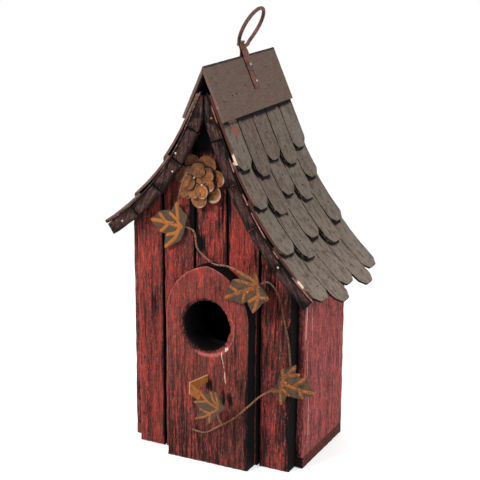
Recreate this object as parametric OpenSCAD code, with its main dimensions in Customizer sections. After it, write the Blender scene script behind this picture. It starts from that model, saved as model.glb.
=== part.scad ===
// Rustic board-built birdhouse with a flared shingle roof, tin flower and ivy trim.
// Millimetres. The front faces -Y, +X is to the right seen from the front, +Z is up,
// and the underside of the floor board lies at z = 0 with the house centred on it.

/* [House] */
// Width across the outer faces of the two side walls
body_w = 133; // [110:1:170]
// Depth from the front panel's face to the back wall's face
body_d = 70; // [58:1:100]
// Height at which the two roof decks would meet
deck_peak_z = 265; // [230:1:320]
// Thickness of the wall boards
wall_t = 6; // [4:0.5:9]
// Thickness of the floor board
floor_t = 8; // [5:0.5:12]

/* [Front slats] */
// Thickness of the five upright slats
slat_t = 9.5; // [6:0.5:14]
// How far the outer slats stop short of the side walls' outer faces
slat_inset = 8.5; // [4:0.5:14]
// Width of each of the three middle slats
slat_w = 23.6; // [18:0.2:28]
// Gap between two slats
slat_gap = 1; // [0.4:0.1:2]

/* [Entrance plaque] */
// Width of the arched plaque
plaque_w = 63; // [52:1:76]
// Thickness of the plaque
plaque_t = 12; // [8:0.5:16]
// Height of the top of the arch
plaque_h = 144; // [130:1:160]
// Rise of the arch above its straight sides
arch_rise = 37.5; // [28:0.5:50]
// How far the plaque and its hole sit to the right of the centre line
plaque_x = 3; // [-6:0.5:6]
// Diameter of the entrance hole
hole_d = 38; // [28:0.5:45]
// Height of the centre of the entrance hole
hole_z = 100.5; // [85:0.5:110]
// Width of the worn bevel round the rim of the entrance hole
hole_bevel = 1.4; // [0.5:0.1:2.5]

/* [Roof decks] */
// Overhang of the roof past the front panel's face
roof_front = 20; // [17:0.5:30]
// Overhang of the roof past the back wall
roof_back = 18; // [10:0.5:30]
// Thickness of the bent deck sheets
deck_t = 1; // [0.8:0.1:2.5]
// Gap left under the ridge at the top of each deck, along the slope
deck_gap = 5; // [3:0.5:9]
// Pitch of the left slope at the ridge, in degrees
left_pitch = 65.5; // [60:0.5:70]
// Pitch of the left slope at its eave, in degrees
left_eave_pitch = 33.5; // [28:0.5:45]
// Straight length of the left slope below the ridge
left_straight = 30; // [20:1:60]
// Overhang of the left deck past the side wall
left_eave = 9.5; // [5:0.5:16]
// Pitch of the right slope at the ridge, in degrees
right_pitch = 68.5; // [62:0.5:72]
// Pitch of the right slope at its eave, in degrees
right_eave_pitch = 41; // [34:0.5:50]
// Straight length of the right slope below the ridge
right_straight = 55; // [20:1:70]
// Overhang of the right deck past the side wall
right_eave = 13; // [6:0.5:18]

/* [Shingles] */
// Shingles in each course
shingles_per_course = 5; // [4:1:7]
// Thickness of a shingle
shingle_t = 1.7; // [1.4:0.1:3]
// Gap between neighbouring shingles
shingle_gap = 0.5; // [0.3:0.1:1.5]
// How far a course runs up under the one above
shingle_lap = 9; // [6:0.5:14]
// How much longer every second shingle is
shingle_stagger = 9; // [4:0.5:12]
// Size of the clipped corners at a shingle's tip
tip_clip = 6; // [3:0.5:8]
// Exposed lengths of the left courses above the last one
left_rows = [38, 37]; // [22:1:44]
// Exposed lengths of the right courses above the last one
right_rows = [35, 27, 35]; // [22:1:38]
// How far the last course hangs past the deck
eave_drop = 4; // [2:0.5:8]

/* [Ridge cap and bargeboards] */
// Where the ridge cap boards end, measured down the decks from their peak
cap_len = 27; // [22:1:38]
// Thickness of the ridge cap boards
cap_t = 2; // [1.5:0.1:4]
// Pitch of the two ridge cap boards, in degrees
cap_pitch = 66; // [63:0.5:68]
// Face height of the bargeboards
barge_h = 8.5; // [6:0.5:12]
// Thickness of the bargeboards
barge_t = 5; // [3:0.5:7]
// Open joint between two bargeboard pieces
barge_joint = 0.5; // [0.3:0.1:1.2]

/* [Hanger] */
// Width of the flattened legs of the hanger
strap_w = 8.5; // [6:0.5:12]
// Thickness of the flattened legs
strap_t = 1.5; // [1:0.1:2.2]
// Length of a leg down its cap board
strap_len = 24.5; // [16:0.5:28]
// Distance of the hanger behind the middle of the house
hanger_y = 6; // [-10:1:20]
// Thickness of the hanger's wire
ring_wire = 2.6; // [2:0.1:3.6]
// Radius of the loop to the middle of its wire
ring_r = 15.6; // [12:0.2:22]
// Lean of the loop towards the right slope, in degrees
ring_lean = 27; // [0:1:35]
// Height of the loop's neck above the ridge
neck_h = 5; // [3:0.5:10]
// How far the neck leans over the left slope
neck_lean = 3.5; // [0:0.5:6]

/* [Tin trim] */
// Thickness of the tin plate
tin_t = 0.8; // [0.6:0.1:1.2]
// Height of the pressed veins on the leaves
vein_h = 0.6; // [0.3:0.1:1]
// Thickness of the twisted vine wire
vine_d = 1.8; // [1.2:0.1:2.2]
// Distance from the middle of the flower to an outer petal's middle
petal_ring = 14.5; // [12:0.5:18]
// Radius of an outer petal
petal_r = 6.8; // [6.4:0.1:9]
// Size of the inner flower against the outer one
inner_scale = 0.66; // [0.5:0.02:0.8]
// How far the petals curl forwards at their rims
petal_curl = 1.6; // [0:0.1:2.5]
// Gap behind the leaves and the flower
trim_gap = 2.2; // [2.2:0.1:4]
// Projection of the perch strip from the plaque
perch_out = 17.5; // [12:0.5:24]

/* [Clean-out] */
// Diameter of the clean-out hole in the back wall
cleanout_d = 36; // [28:1:44]
// Height of the clean-out hole's centre
cleanout_z = 46; // [40:1:60]
// How far the cover laps over the edge of the hole
cover_lap = 6; // [4:0.5:9]
// Thickness of the swivelling cover
cover_t = 4; // [3:0.5:6]
// Diameter of the pivot screw's shank
pivot_d = 4; // [3:0.5:5]
// Radial play between the cover and the pivot screw
pivot_play = 0.05; // [0.02:0.01:0.1]
// Free space between the cover, the back wall and the screw's head
cover_gap = 0.4; // [0.3:0.1:0.8]

/* [Hidden] */

LEFT = -1;
RIGHT = 1;
left_courses = 3;
right_courses = 4;
barge_pieces = 5;

// Where the main faces lie along the depth
panel_y = -body_d / 2;
slat_y = panel_y - slat_t;
plaque_y = slat_y - plaque_t;
back_y = body_d / 2;
roof_y = panel_y - roof_front;
roof_end_y = back_y + roof_back;
roof_len = roof_end_y - roof_y;

// Small clearances between boards that seat on each other
seat = 0.1;
barge_seat = 0.03;
inner_w = body_w - 2 * wall_t;
// Longer than any board, for cutting shapes
far = 2 * (body_w + deck_peak_z);
// How far a cutter runs past what it cuts
cut = 1;
// Straight pieces that a curved slope is divided into
slope_steps = 24;
// Unevenness of the hand-laid shingle tips
uneven = 1.3;

// Face colours
red = "#8c3a34";
side_red = "#a0544f";
dark_red = "#4e3a36";
shingle_grey = "#6b6158";
cap_grey = "#695c50";
deck_brown = "#5b4640";
rust = "#a9672f";
leaf_grey = "#6f6455";
wire_brown = "#96704f";
steel_brown = "#7a5042";
nail_grey = "#8c8c86";

// ---- Shape of a roof slope, in the plane across the house ----------------------------
// A slope starts straight at the ridge and then flares out on one arc to the eave.
// Every function works on the positive side; the left slope is mirrored when drawn.

function pitch_top(side) = side == RIGHT ? right_pitch : left_pitch;
function pitch_eave(side) = side == RIGHT ? right_eave_pitch : left_eave_pitch;
function straight(side) = side == RIGHT ? right_straight : left_straight;
function eave_x(side) = body_w / 2 + (side == RIGHT ? right_eave : left_eave);
function courses(side) = side == RIGHT ? right_courses : left_courses;
function normal(a) = [sin(a), cos(a)];
function flare_r(side) =
    (eave_x(side) - straight(side) * cos(pitch_top(side)))
    / (sin(pitch_top(side)) - sin(pitch_eave(side)));
function deck_len(side) =
    straight(side) + flare_r(side) * (pitch_top(side) - pitch_eave(side)) * PI / 180;
function pitch_at(side, s) =
    pitch_top(side) - max(0, s - straight(side)) / flare_r(side) * 180 / PI;
function straight_end(side) =
    [straight(side) * cos(pitch_top(side)),
     deck_peak_z - straight(side) * sin(pitch_top(side))];
function flare_centre(side) = straight_end(side) + flare_r(side) * normal(pitch_top(side));

// Point at distance s down the slope and n outside the deck's underside
function on_slope(side, s, n = 0) =
    s <= straight(side)
    ? [0, deck_peak_z] + s * [cos(pitch_top(side)), -sin(pitch_top(side))]
        + n * normal(pitch_top(side))
    : flare_centre(side) - (flare_r(side) - n) * normal(pitch_at(side, s));

// The slope as a chain of points, from above the decks' gap at the ridge to past the eave
function slope_line(side, n) =
    let (first = 0.6 * deck_gap, last = deck_len(side) + 6)
    [for (i = [0 : slope_steps]) on_slope(side, first + (last - first) * i / slope_steps, n)];
function flipped(points) = [for (i = [len(points) - 1 : -1 : 0]) [-points[i][0], points[i][1]]];

// ---- Where the shingles lie ----------------------------------------------------------
// Each shingle is bent along the slope. It lies on the deck at its head and lifts evenly
// to its tail, which rests on the course below; the last course lies on the deck.

function rows(side) = side == RIGHT ? right_rows : left_rows;
function sum_to(list, k) = k == 0 ? 0 : list[k - 1] + sum_to(list, k - 1);
function tail_line(side, k) =
    k == courses(side) ? deck_len(side) + eave_drop : cap_len + sum_to(rows(side), k);
function wobble(side, k, col) = rands(-uneven, uneven, 1, 100 * k + 10 * col + side + 3)[0];
function tail_at(side, k, col) =
    tail_line(side, k) + (col % 2 == 1 ? shingle_stagger : 0) + wobble(side, k, col);
function head_at(side, k) = k == 1 ? deck_gap + 2 : tail_line(side, k - 1) - shingle_lap;

// Lift of a shingle's underside off the deck at distance s, and at its tail
function lift_at(side, k, col, s) =
    tail_lift(side, k, col) * max(0, s - head_at(side, k))
    / (tail_at(side, k, col) - head_at(side, k));
function tail_lift(side, k, col) =
    k == courses(side) ? 0 :
    let (
        tail = tail_at(side, k, col),
        head = head_at(side, k),
        clear = shingle_t + seat
    )
    max(
        clear + lift_at(side, k + 1, col, tail),
        clear * (tail - head) / (head_at(side, k + 1) - head)
    );

// ---- Ridge cap lines -----------------------------------------------------------------

function cap_seat(side) =
    deck_t + shingle_t + seat
    + max([for (col = [0 : shingles_per_course - 1]) lift_at(side, 1, col, cap_len)]);
function cap_tail(side) = on_slope(side, cap_len, cap_seat(side) + cap_t);
function cap_z(side, x) = cap_tail(side)[1] + tan(cap_pitch) * (cap_tail(side)[0] - x);

// The two outer faces meet here; x is measured to the right of the centre line.
ridge_x = (cap_z(RIGHT, 0) - cap_z(LEFT, 0)) / (2 * tan(cap_pitch));
ridge_z = cap_z(RIGHT, ridge_x);

// ---- Hanger --------------------------------------------------------------------------

ring_foot = [ridge_x - neck_lean, hanger_y, ridge_z + neck_h];
ring_up = [sin(ring_lean), 0, cos(ring_lean)];
ring_centre = ring_foot + ring_r * ring_up;
ring_normal = [cos(ring_lean), 0, -sin(ring_lean)];
strap_nail_spots = [0.31 * strap_len, 0.8 * strap_len];
strap_nail_d = 1.6;
nail_head_t = 0.8;
nail_head_d = 2.6;
// Half the distance between the two wires where they stand side by side in the neck
wire_pair = 0.54 * ring_wire;
// Angle from the loop's top at which each side of it runs into the neck
loop_end = 160;
loop_step = 20;

// ---- Places of the tin trim ----------------------------------------------------------
// A trim piece stands trim_gap in front of the wood, with its wires held behind it.

trim_back_y = slat_y - trim_gap;
plaque_trim_y = plaque_y - trim_gap;
flower_x = -6.5;
flower_z = 200;
leaf_1_at = [-21.5, trim_back_y, 167];
leaf_2_at = [plaque_x + 38.3, plaque_trim_y, 136.7];
leaf_3_at = [55, trim_back_y, 64.5];
perch_root = [plaque_x + 0.5, plaque_y, 64];
perch_fold = perch_root + [-4.5, -perch_out, -2];
perch_leaf_at = perch_fold + [20.3, 0, -11.6];
perch_root_h = 5;
perch_fold_h = 8.6;
// Where the strip's lower and upper edges run into the perch leaf
perch_join_low = [-7, -1];
perch_join_high = [-3, 7];

// A leaf's rim round the point where its veins meet, as [direction, distance] of a notch,
// of the tip after it, and so on, turning from +X towards +Z
leaf_1_rim = [
    [0, 3], [60, 9], [82, 10], [102, 16.5], [128, 12], [157, 19.5], [166, 20],
    [176, 24], [190, 19.5], [202, 17.5], [212, 13.5], [234, 22], [250, 14], [266, 11]
];
leaf_2_rim = [
    [20, 2.5], [97, 10], [118, 6.5], [150, 17], [166, 12], [174, 17.5], [186, 19.5],
    [207, 26], [222, 20], [233, 17.5], [241, 13.5], [263, 19.5], [290, 12.5], [319, 12.5]
];
leaf_3_rim = [
    [12, 20.5], [26, 19.7], [32, 15], [39, 17.5], [47, 14.5], [58, 19.7], [76, 12.5],
    [88, 12.5], [150, 3], [222, 9.5], [248, 9], [271, 14], [305, 7.5], [338, 17.5],
    [347, 19.5], [358, 25.5]
];
perch_rim = [
    [50, 6.5], [92, 12.5], [100, 12], [108, 13], [122, 11.5], [136, 16], [155, 12],
    [172, 17.5], [184, 12.5], [190, 13.2], [201, 11.5], [212, 19.5], [223, 11],
    [246, 13], [262, 4], [377, 7.5]
];
// How far out a vein is raised, as a share of the way to the rim
vein_spot = 0.6;

// Where a nail goes through each leaf, right of and above the point where its veins meet
leaf_1_nail = [-6, 1.5];
leaf_2_nail = [-6, -5];
leaf_3_nail = [3.5, 3];
nail_spread = 2.8;
nail_shank_d = 1.3;

petals = 7;
flower_turn = 12;
flower_back_y = trim_back_y;
inner_gap = 0.5;
flower_inner_y = flower_back_y - tin_t - inner_gap;
flower_nail_y = flower_inner_y - tin_t - petal_curl / 2;
flower_nail_spots = [[-nail_spread, 0.8 * nail_spread], [nail_spread, -0.8 * nail_spread]];

// Bends of the wires; each starts behind one leaf and ends behind another
behind = [0, vine_d / 2, 0];
on_plaque_y = plaque_y - vine_d / 2;
stem_path = [
    [flower_x - 8, flower_back_y, flower_z - 3] + behind,
    [flower_x - 13.5, flower_back_y, flower_z - 10] + behind,
    leaf_1_at + behind + [-1.6, 0, 9]
];
upper_path = [
    leaf_1_at + behind + [-2, 0, 0], leaf_1_at + behind + [4.5, 0, -1.6],
    leaf_1_at + [10.5, -1.2, -3.6], leaf_1_at + [14.5, -4.6, -13],
    [plaque_x - 2, plaque_y + 1.5, plaque_h + 5.6], [plaque_x + 6.5, on_plaque_y - 0.6, plaque_h + 2.8],
    leaf_2_at + [-22, 0.85, 9.8], leaf_2_at + behind + [-12, 0, 7]
];
side_path = [
    leaf_2_at + behind + [-1, 0, -1], leaf_2_at + behind + [6.6, 0.4, 3], leaf_2_at + [10.2, 4.5, -0.7],
    leaf_3_at + [-2, -0.6, 61.5], leaf_3_at + [1.5, 1, 42.5], leaf_3_at + [4, 1, 31.5],
    leaf_3_at + behind + [6, 0, 14]
];
lower_path = [
    leaf_3_at + behind + [-3, 0, -2], leaf_3_at + behind + [-8.5, 0, -5.4],
    leaf_3_at + [-14, -5.5, -9], [plaque_x + 32.5, plaque_y - 1.2, 49.5],
    [plaque_x + 21.8, on_plaque_y - 0.3, 39],
    [plaque_x + 7.6, on_plaque_y - 0.3, 28.6], [plaque_x - 1.3, on_plaque_y, 23.2],
    [plaque_x - 11.3, on_plaque_y, 23.7]
];
perch_stem_path = [
    perch_leaf_at + behind + [-0.5, 0, 1], perch_leaf_at + [-0.8, 4, -7],
    [plaque_x + 13.8, on_plaque_y - 5.5, 37], [plaque_x + 13.2, on_plaque_y - 0.4 - vine_d, 32.6]
];

// ---- Clean-out -----------------------------------------------------------------------

cover_r = cleanout_d / 2 + cover_lap;
pivot_z = cleanout_z + cover_r + 6;
pivot_boss_r = 8;
screw_head_h = 2.2;
screw_head_r = 4.2;
screw_top_r = 2.8;
cover_y = back_y + cover_gap;
screw_head_y = cover_y + cover_t + cover_gap;

// ---- Shared shapes -------------------------------------------------------------------

// Stands a profile drawn in x and z upright and runs it from y0 to y1
module along_y(y0, y1) {
    translate([0, y1, 0])
        rotate([90, 0, 0])
            linear_extrude(y1 - y0) children();
}

module on_side(side) {
    mirror([side == LEFT ? 1 : 0, 0, 0]) children();
}

// Everything under the two decks, less the seating clearance
function gable_points() =
    let (left = slope_line(LEFT, -seat), right = slope_line(RIGHT, -seat))
    concat(
        [[-left[len(left) - 1][0], 0]],
        flipped(left),
        right,
        [[right[len(right) - 1][0], 0]]
    );

module wall_profile(x0, x1, z0) {
    intersection() {
        translate([x0, z0]) square([x1 - x0, far]);
        polygon(gable_points());
    }
}

module entrance_bore() {
    translate([plaque_x, plaque_y - cut, hole_z])
        rotate([-90, 0, 0])
            cylinder(h = slat_t + plaque_t + wall_t + 2 * cut, d = hole_d, $fn = 96);
}

// ---- Box of the house ----------------------------------------------------------------

module floor_board() {
    color(side_red)
        translate([-body_w / 2, panel_y, 0])
            cube([body_w, body_d, floor_t]);
}

module side_wall(side) {
    outer = side * body_w / 2;
    color(side_red)
        along_y(panel_y, back_y)
            wall_profile(min(outer, outer - side * wall_t), max(outer, outer - side * wall_t), floor_t);
}

module back_wall() {
    color(red)
        difference() {
            along_y(back_y - wall_t, back_y)
                wall_profile(-inner_w / 2, inner_w / 2, floor_t);
            translate([0, back_y + cut, cleanout_z])
                rotate([90, 0, 0])
                    cylinder(h = wall_t + 2 * cut, d = cleanout_d, $fn = 96);
            translate([0, back_y + cut, pivot_z])
                rotate([90, 0, 0])
                    cylinder(h = wall_t + 2 * cut, d = pivot_d, $fn = 48);
        }
}

module front_panel() {
    color(dark_red)
        difference() {
            along_y(panel_y, panel_y + wall_t)
                wall_profile(-inner_w / 2, inner_w / 2, floor_t);
            entrance_bore();
        }
}

// ---- Front slats and plaque ----------------------------------------------------------

// Edges of the slats from left to right: three equal ones in the middle, the rest at the sides
slat_pitch = slat_w + slat_gap;
slat_edge = body_w / 2 - slat_inset;
function slat_left(i) = i == 1 ? -slat_edge : (i - 3) * slat_pitch - slat_w / 2;
function slat_right(i) = i == 5 ? slat_edge : (i - 3) * slat_pitch + slat_w / 2;

module front_slat(i) {
    color(red)
        difference() {
            along_y(slat_y, panel_y) wall_profile(slat_left(i), slat_right(i), 0);
            entrance_bore();
        }
}

module plaque_profile() {
    half = plaque_w / 2;
    spring_z = plaque_h - arch_rise;
    arch_r = (arch_rise * arch_rise + half * half) / (2 * half);
    translate([-half, 0]) square([plaque_w, spring_z]);
    intersection() {
        translate([arch_r - half, spring_z]) circle(r = arch_r, $fn = 180);
        translate([half - arch_r, spring_z]) circle(r = arch_r, $fn = 180);
        translate([-half, spring_z]) square([plaque_w, arch_rise + 1]);
    }
}

module entrance_plaque() {
    color(red)
        difference() {
            along_y(plaque_y, slat_y) translate([plaque_x, 0]) plaque_profile();
            entrance_bore();
            translate([plaque_x, plaque_y, hole_z])
                rotate([-90, 0, 0])
                    cylinder(h = hole_bevel, r1 = hole_d / 2 + hole_bevel, r2 = hole_d / 2, $fn = 96);
        }
}

// ---- Roof ----------------------------------------------------------------------------

// All that lies between the flare's centre and the slope's line at height n
module above_slope(side, n) {
    translate(flare_centre(side)) circle(r = flare_r(side) - n, $fn = 720);
    polygon([flare_centre(side), on_slope(side, 0, n), on_slope(side, straight(side), n)]);
}

module deck_profile(side) {
    centre = flare_centre(side);
    clear = 0.1 * flare_r(side);
    reach = flare_r(side) + clear;
    intersection() {
        difference() {
            above_slope(side, 0);
            above_slope(side, deck_t);
        }
        polygon([
            centre, on_slope(side, deck_gap, flare_r(side)), on_slope(side, deck_gap, -clear),
            centre - reach * normal(pitch_top(side)), centre - reach * normal(pitch_eave(side))
        ]);
    }
}

module roof_deck(side) {
    color(deck_brown)
        on_side(side) along_y(roof_y, roof_end_y) deck_profile(side);
}

// What is cut off one corner of a shingle's tip: a 45 degree clip with eased ends, drawn
// with the corner at the origin and the shingle running towards -X
module tip_corner() {
    ease = 0.14 * tip_clip;
    polygon([
        [-tip_clip - 1.4 * ease, 0], [-tip_clip + ease, 0.5 * ease],
        [-0.5 * ease, tip_clip - ease], [0, tip_clip + 1.4 * ease],
        [cut, tip_clip + 1.4 * ease], [cut, -cut], [-tip_clip - 1.4 * ease, -cut]
    ]);
}

module shingle(side, k, col) {
    steps = 6;
    head = head_at(side, k);
    tail = tail_at(side, k, col);
    width = roof_len / shingles_per_course - shingle_gap;
    y0 = roof_y + col * roof_len / shingles_per_course + shingle_gap / 2;
    under = [
        for (i = [0 : steps])
            let (s = head + (tail - head) * i / steps)
            on_slope(side, s, deck_t + lift_at(side, k, col, s))
    ];
    over = [
        for (i = [steps : -1 : 0])
            let (s = head + (tail - head) * i / steps)
            on_slope(side, s, deck_t + shingle_t + lift_at(side, k, col, s))
    ];
    tip = under[steps];
    run = tip - under[steps - 1];
    difference() {
        along_y(y0, y0 + width) polygon(concat(under, over));
        for (corner = [0, 1])
            translate([tip[0], y0 + corner * width, tip[1]])
                mirror([0, corner, 0])
                    rotate([0, atan2(-run[1], run[0]), 0])
                        linear_extrude(4 * shingle_t, center = true) tip_corner();
    }
}

module shingle_course(side, k) {
    color(shingle_grey)
        on_side(side)
            for (col = [0 : shingles_per_course - 1]) shingle(side, k, col);
}

module ridge_cap(side) {
    across = side * ridge_x + seat / 2;
    tail = cap_tail(side);
    inner = tail - cap_t * normal(cap_pitch);
    fall = tan(cap_pitch);
    color(cap_grey)
        difference() {
            on_side(side)
                along_y(roof_y, roof_end_y)
                    polygon([
                        tail, [across, tail[1] + fall * (tail[0] - across)],
                        [across, inner[1] + fall * (inner[0] - across)], inner
                    ]);
            strap_nail_shanks(side, -2 * cap_t);
        }
}

// Point on the line square to the slope at s, h below the board's top edge, which
// touches the deck at the middle of the piece
function barge_point(side, s, middle, h) =
    let (
        edge = on_slope(side, s),
        touch = on_slope(side, middle, -barge_seat),
        square_to = normal(pitch_at(side, middle)),
        along = normal(pitch_at(side, s))
    )
    edge - ((edge - touch) * square_to + h) / (along * square_to) * along;

module bargeboard(side, i) {
    first = deck_gap + 1;
    length = (deck_len(side) - first) / barge_pieces;
    s0 = first + (i - 1) * length + barge_joint / 2;
    s1 = first + i * length - barge_joint / 2;
    middle = (s0 + s1) / 2;
    color(dark_red)
        on_side(side)
            along_y(roof_y, roof_y + barge_t)
                intersection() {
                    polygon([
                        barge_point(side, s0, middle, 0), barge_point(side, s1, middle, 0),
                        barge_point(side, s1, middle, barge_h), barge_point(side, s0, middle, barge_h)
                    ]);
                    translate([barge_joint / 2, 0]) square(far);
                }
}

// ---- Swept wires ---------------------------------------------------------------------

// A smooth curve through the points, with a number of steps between each two of them
function between(a, b, c, d, t) =
    0.5 * (2 * b + (c - a) * t + (2 * a - 5 * b + 4 * c - d) * t * t
        + (3 * b - a - 3 * c + d) * t * t * t);
function smooth(points, steps) =
    let (last = len(points) - 1)
    [
        for (i = [0 : last - 1], j = [0 : steps - 1])
            between(
                points[max(i - 1, 0)], points[i], points[i + 1], points[min(i + 2, last)], j / steps
            ),
        points[last]
    ];

function unit(v) = v / norm(v);
function place(p) = [p[0], p[1], p[2]];

// Rings of corners along a path. Each point of the path is [x, y, z, width, thickness, turn]:
// the width lies along Y at turn 0 and along the hanger loop's own axis at turn 1.
function sweep_ring(path, i, sides) =
    let (
        last = len(path) - 1,
        way = unit(place(path[min(i + 1, last)]) - place(path[max(i - 1, 0)])),
        wide = (1 - path[i][5]) * [0, 1, 0] + path[i][5] * ring_normal,
        across = unit(cross(way, wide)),
        flat = cross(across, way)
    )
    [
        for (k = [0 : sides - 1])
            place(path[i]) + path[i][3] / 2 * cos(360 * k / sides) * flat
                + path[i][4] / 2 * sin(360 * k / sides) * across
    ];

module sweep(path, sides) {
    rings = len(path);
    corners = [for (i = [0 : rings - 1]) each sweep_ring(path, i, sides)];
    skin = [
        for (i = [0 : rings - 2], k = [0 : sides - 1])
            let (a = i * sides + k, b = i * sides + (k + 1) % sides)
            each [[a, b, b + sides], [a, b + sides, a + sides]]
    ];
    start = [for (k = [sides - 1 : -1 : 0]) k];
    end = [for (k = [0 : sides - 1]) (rings - 1) * sides + k];
    polyhedron(points = corners, faces = concat(skin, [start, end]));
}

module wire(points) {
    path = [for (p = points) [p[0], p[1], p[2], vine_d, vine_d, 0]];
    color(wire_brown) sweep(smooth(path, 5), 8);
}

// ---- Hanger --------------------------------------------------------------------------

// Places a shape on a cap board's outer face: x runs down the slope from the ridge, z is out
module on_cap(side) {
    translate([ridge_x, 0, ridge_z])
        on_side(side)
            rotate([0, cap_pitch, 0]) children();
}

function cap_spot(side, run, out) =
    [ridge_x, hanger_y, ridge_z]
    + run * [side * cos(cap_pitch), 0, -sin(cap_pitch)]
    + out * [side * sin(cap_pitch), 0, cos(cap_pitch)];

module strap_nail_shanks(side, from) {
    for (spot = strap_nail_spots)
        on_cap(side)
            translate([spot, hanger_y, from])
                cylinder(h = strap_t + seat - from, d = strap_nail_d, $fn = 24);
}

// One flattened leg, from its end on a cap board up to the ridge
function leg_path(side) = [
    for (run = [strap_len, 0.6 * strap_len, 0.2 * strap_len])
        [each cap_spot(side, run, strap_t / 2 + seat), strap_w, strap_t, 0]
];
// The wire rises from a leg into its side of the neck
function neck_path(side) = [
    [ridge_x + side * 0.9 * ring_wire, hanger_y, ridge_z + 0.15 * neck_h,
        0.8 * strap_w, 1.2 * strap_t, 0],
    [ridge_x + side * wire_pair - 0.5 * neck_lean, hanger_y, ridge_z + 0.6 * neck_h,
        ring_wire, ring_wire, 0.1]
];
// The loop runs from the right leg round its front to the left leg
function loop_path() = [
    for (a = [-loop_end : loop_step : loop_end])
        [each (ring_centre + ring_r * (cos(a) * ring_up + sin(a) * [0, 1, 0])
            + [sign(-a) * wire_pair * pow(abs(a) / 180, 6), 0, 0]),
            ring_wire, ring_wire, 1]
];

module hanger() {
    left_up = [each leg_path(LEFT), each neck_path(LEFT)];
    right_up = [each leg_path(RIGHT), each neck_path(RIGHT)];
    left_down = [for (i = [len(left_up) - 1 : -1 : 0]) left_up[i]];
    color(steel_brown)
        difference() {
            sweep(smooth([each right_up, each loop_path(), each left_down], 3), 12);
            strap_nail_shanks(LEFT, -cut);
            strap_nail_shanks(RIGHT, -cut);
        }
}

module hanger_nails() {
    color(nail_grey)
        for (side = [LEFT, RIGHT]) {
            strap_nail_shanks(side, -cap_t);
            for (spot = strap_nail_spots)
                on_cap(side)
                    translate([spot, hanger_y, strap_t + seat])
                        cylinder(h = nail_head_t, d = nail_head_d, $fn = 32);
        }
}

// ---- Bought-in tin trim --------------------------------------------------------------

function polar(a, r) = [r * cos(a), r * sin(a)];

// Outline of a round petal, as its reach from the flower's middle at an angle off its axis
function petal_reach(off) =
    petal_ring * cos(off)
    + sqrt(max(0, petal_r * petal_r - pow(petal_ring * sin(off), 2)));

// How far a point of the flower curls forwards: each petal is cupped about its own middle
function petal_rise(reach, off) =
    let (aside = norm([max(0, reach * cos(off) - petal_ring), reach * sin(off)]) / petal_r)
    petal_curl * (0.35 * pow(reach / (petal_ring + petal_r), 2) + 0.65 * pow(aside, 2));

// A layer of petals cut from one tin disc, lying in x and z with its back at y = 0
module petal_layer(size, turn) {
    steps = 9;
    rim = petals * steps;
    bands = [0.3, 0.55, 0.75, 0.9, 1];
    function off(i) = ((i % steps) / steps - 0.5) * 360 / petals;
    function spot(i, f, y) =
        let (reach = f * petal_reach(off(i)), p = polar(turn + 360 * i / rim, size * reach))
        [p[0], y - petal_rise(reach, off(i)), p[1]];
    function sheet(y) = [for (f = bands, i = [0 : rim - 1]) spot(i, f, y)];
    front = concat(sheet(-tin_t), [[0, -tin_t, 0]]);
    back = concat(sheet(0), [[0, 0, 0]]);
    count = len(front);
    skin = [
        for (b = [0 : len(bands) - 2], i = [0 : rim - 1])
            let (a = b * rim + i, c = b * rim + (i + 1) % rim)
            each [[a, a + rim, c + rim], [a, c + rim, c]]
    ];
    hub = [for (i = [0 : rim - 1]) [count - 1, i, (i + 1) % rim]];
    front_faces = concat(skin, hub);
    back_faces = [for (f = front_faces) [f[2] + count, f[1] + count, f[0] + count]];
    outer = (len(bands) - 1) * rim;
    edge = [
        for (i = [0 : rim - 1])
            let (a = outer + i, c = outer + (i + 1) % rim)
            each [[a, a + count, c + count], [a, c + count, c]]
    ];
    polyhedron(points = concat(front, back), faces = concat(front_faces, back_faces, edge));
}

module flower_layer(size, turn, y) {
    color(rust)
        difference() {
            translate([flower_x, y, flower_z]) petal_layer(size, turn);
            flower_nail_shanks();
        }
}

module flower_outer_petals() {
    flower_layer(1, flower_turn, flower_back_y);
}

module flower_inner_petals() {
    flower_layer(inner_scale, flower_turn + 180 / petals, flower_inner_y);
}

// A nail along Y, from its head in front of y back to y_end
module nail_shank(x, y, z, y_end) {
    translate([x, y, z])
        rotate([-90, 0, 0]) cylinder(h = y_end - y, d = nail_shank_d, $fn = 24);
}

module trim_nail(x, y, z, y_end) {
    nail_shank(x, y, z, y_end);
    translate([x, y, z])
        rotate([90, 0, 0]) cylinder(h = nail_head_t, d = nail_head_d, $fn = 32);
}

module flower_nail_shanks() {
    for (spot = flower_nail_spots)
        nail_shank(flower_x + spot[0], flower_nail_y, flower_z + spot[1], slat_y);
}

module flower_nails() {
    color(nail_grey)
        for (spot = flower_nail_spots)
            trim_nail(flower_x + spot[0], flower_nail_y, flower_z + spot[1], slat_y);
}

function leaf_points(rim) = [for (p = rim) polar(p[0], p[1])];

// A pressed leaf: its rim lies at y = 0 behind, its middle is dished forwards, and a vein
// is raised from the middle towards each tip
module pressed_leaf(outline) {
    rim = leaf_points(outline);
    n = len(rim);
    function lift(i) = i % 2 == 1 ? vein_h : 0;
    corners = [
        for (p = rim) [p[0], 0, p[1]],
        for (p = rim) [p[0], -tin_t, p[1]],
        for (i = [0 : n - 1]) [vein_spot * rim[i][0], -tin_t - lift(i), vein_spot * rim[i][1]],
        [0, -tin_t - vein_h, 0],
        [0, -vein_h / 2, 0]
    ];
    sides = [
        for (i = [0 : n - 1])
            let (k = (i + 1) % n)
            each [
                [i, i + n, k + n], [i, k + n, k],
                [i + n, i + 2 * n, k + 2 * n], [i + n, k + 2 * n, k + n],
                [i + 2 * n, 3 * n, k + 2 * n], [i, k, 3 * n + 1]
            ]
    ];
    polyhedron(points = corners, faces = sides);
}

module leaf(at, rim, hole) {
    color(leaf_grey)
        difference() {
            translate(at) pressed_leaf(rim);
            nail_shank(at[0] + hole[0], at[1] - tin_t - vein_h - cut, at[2] + hole[1], at[1] + cut);
        }
}

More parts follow.
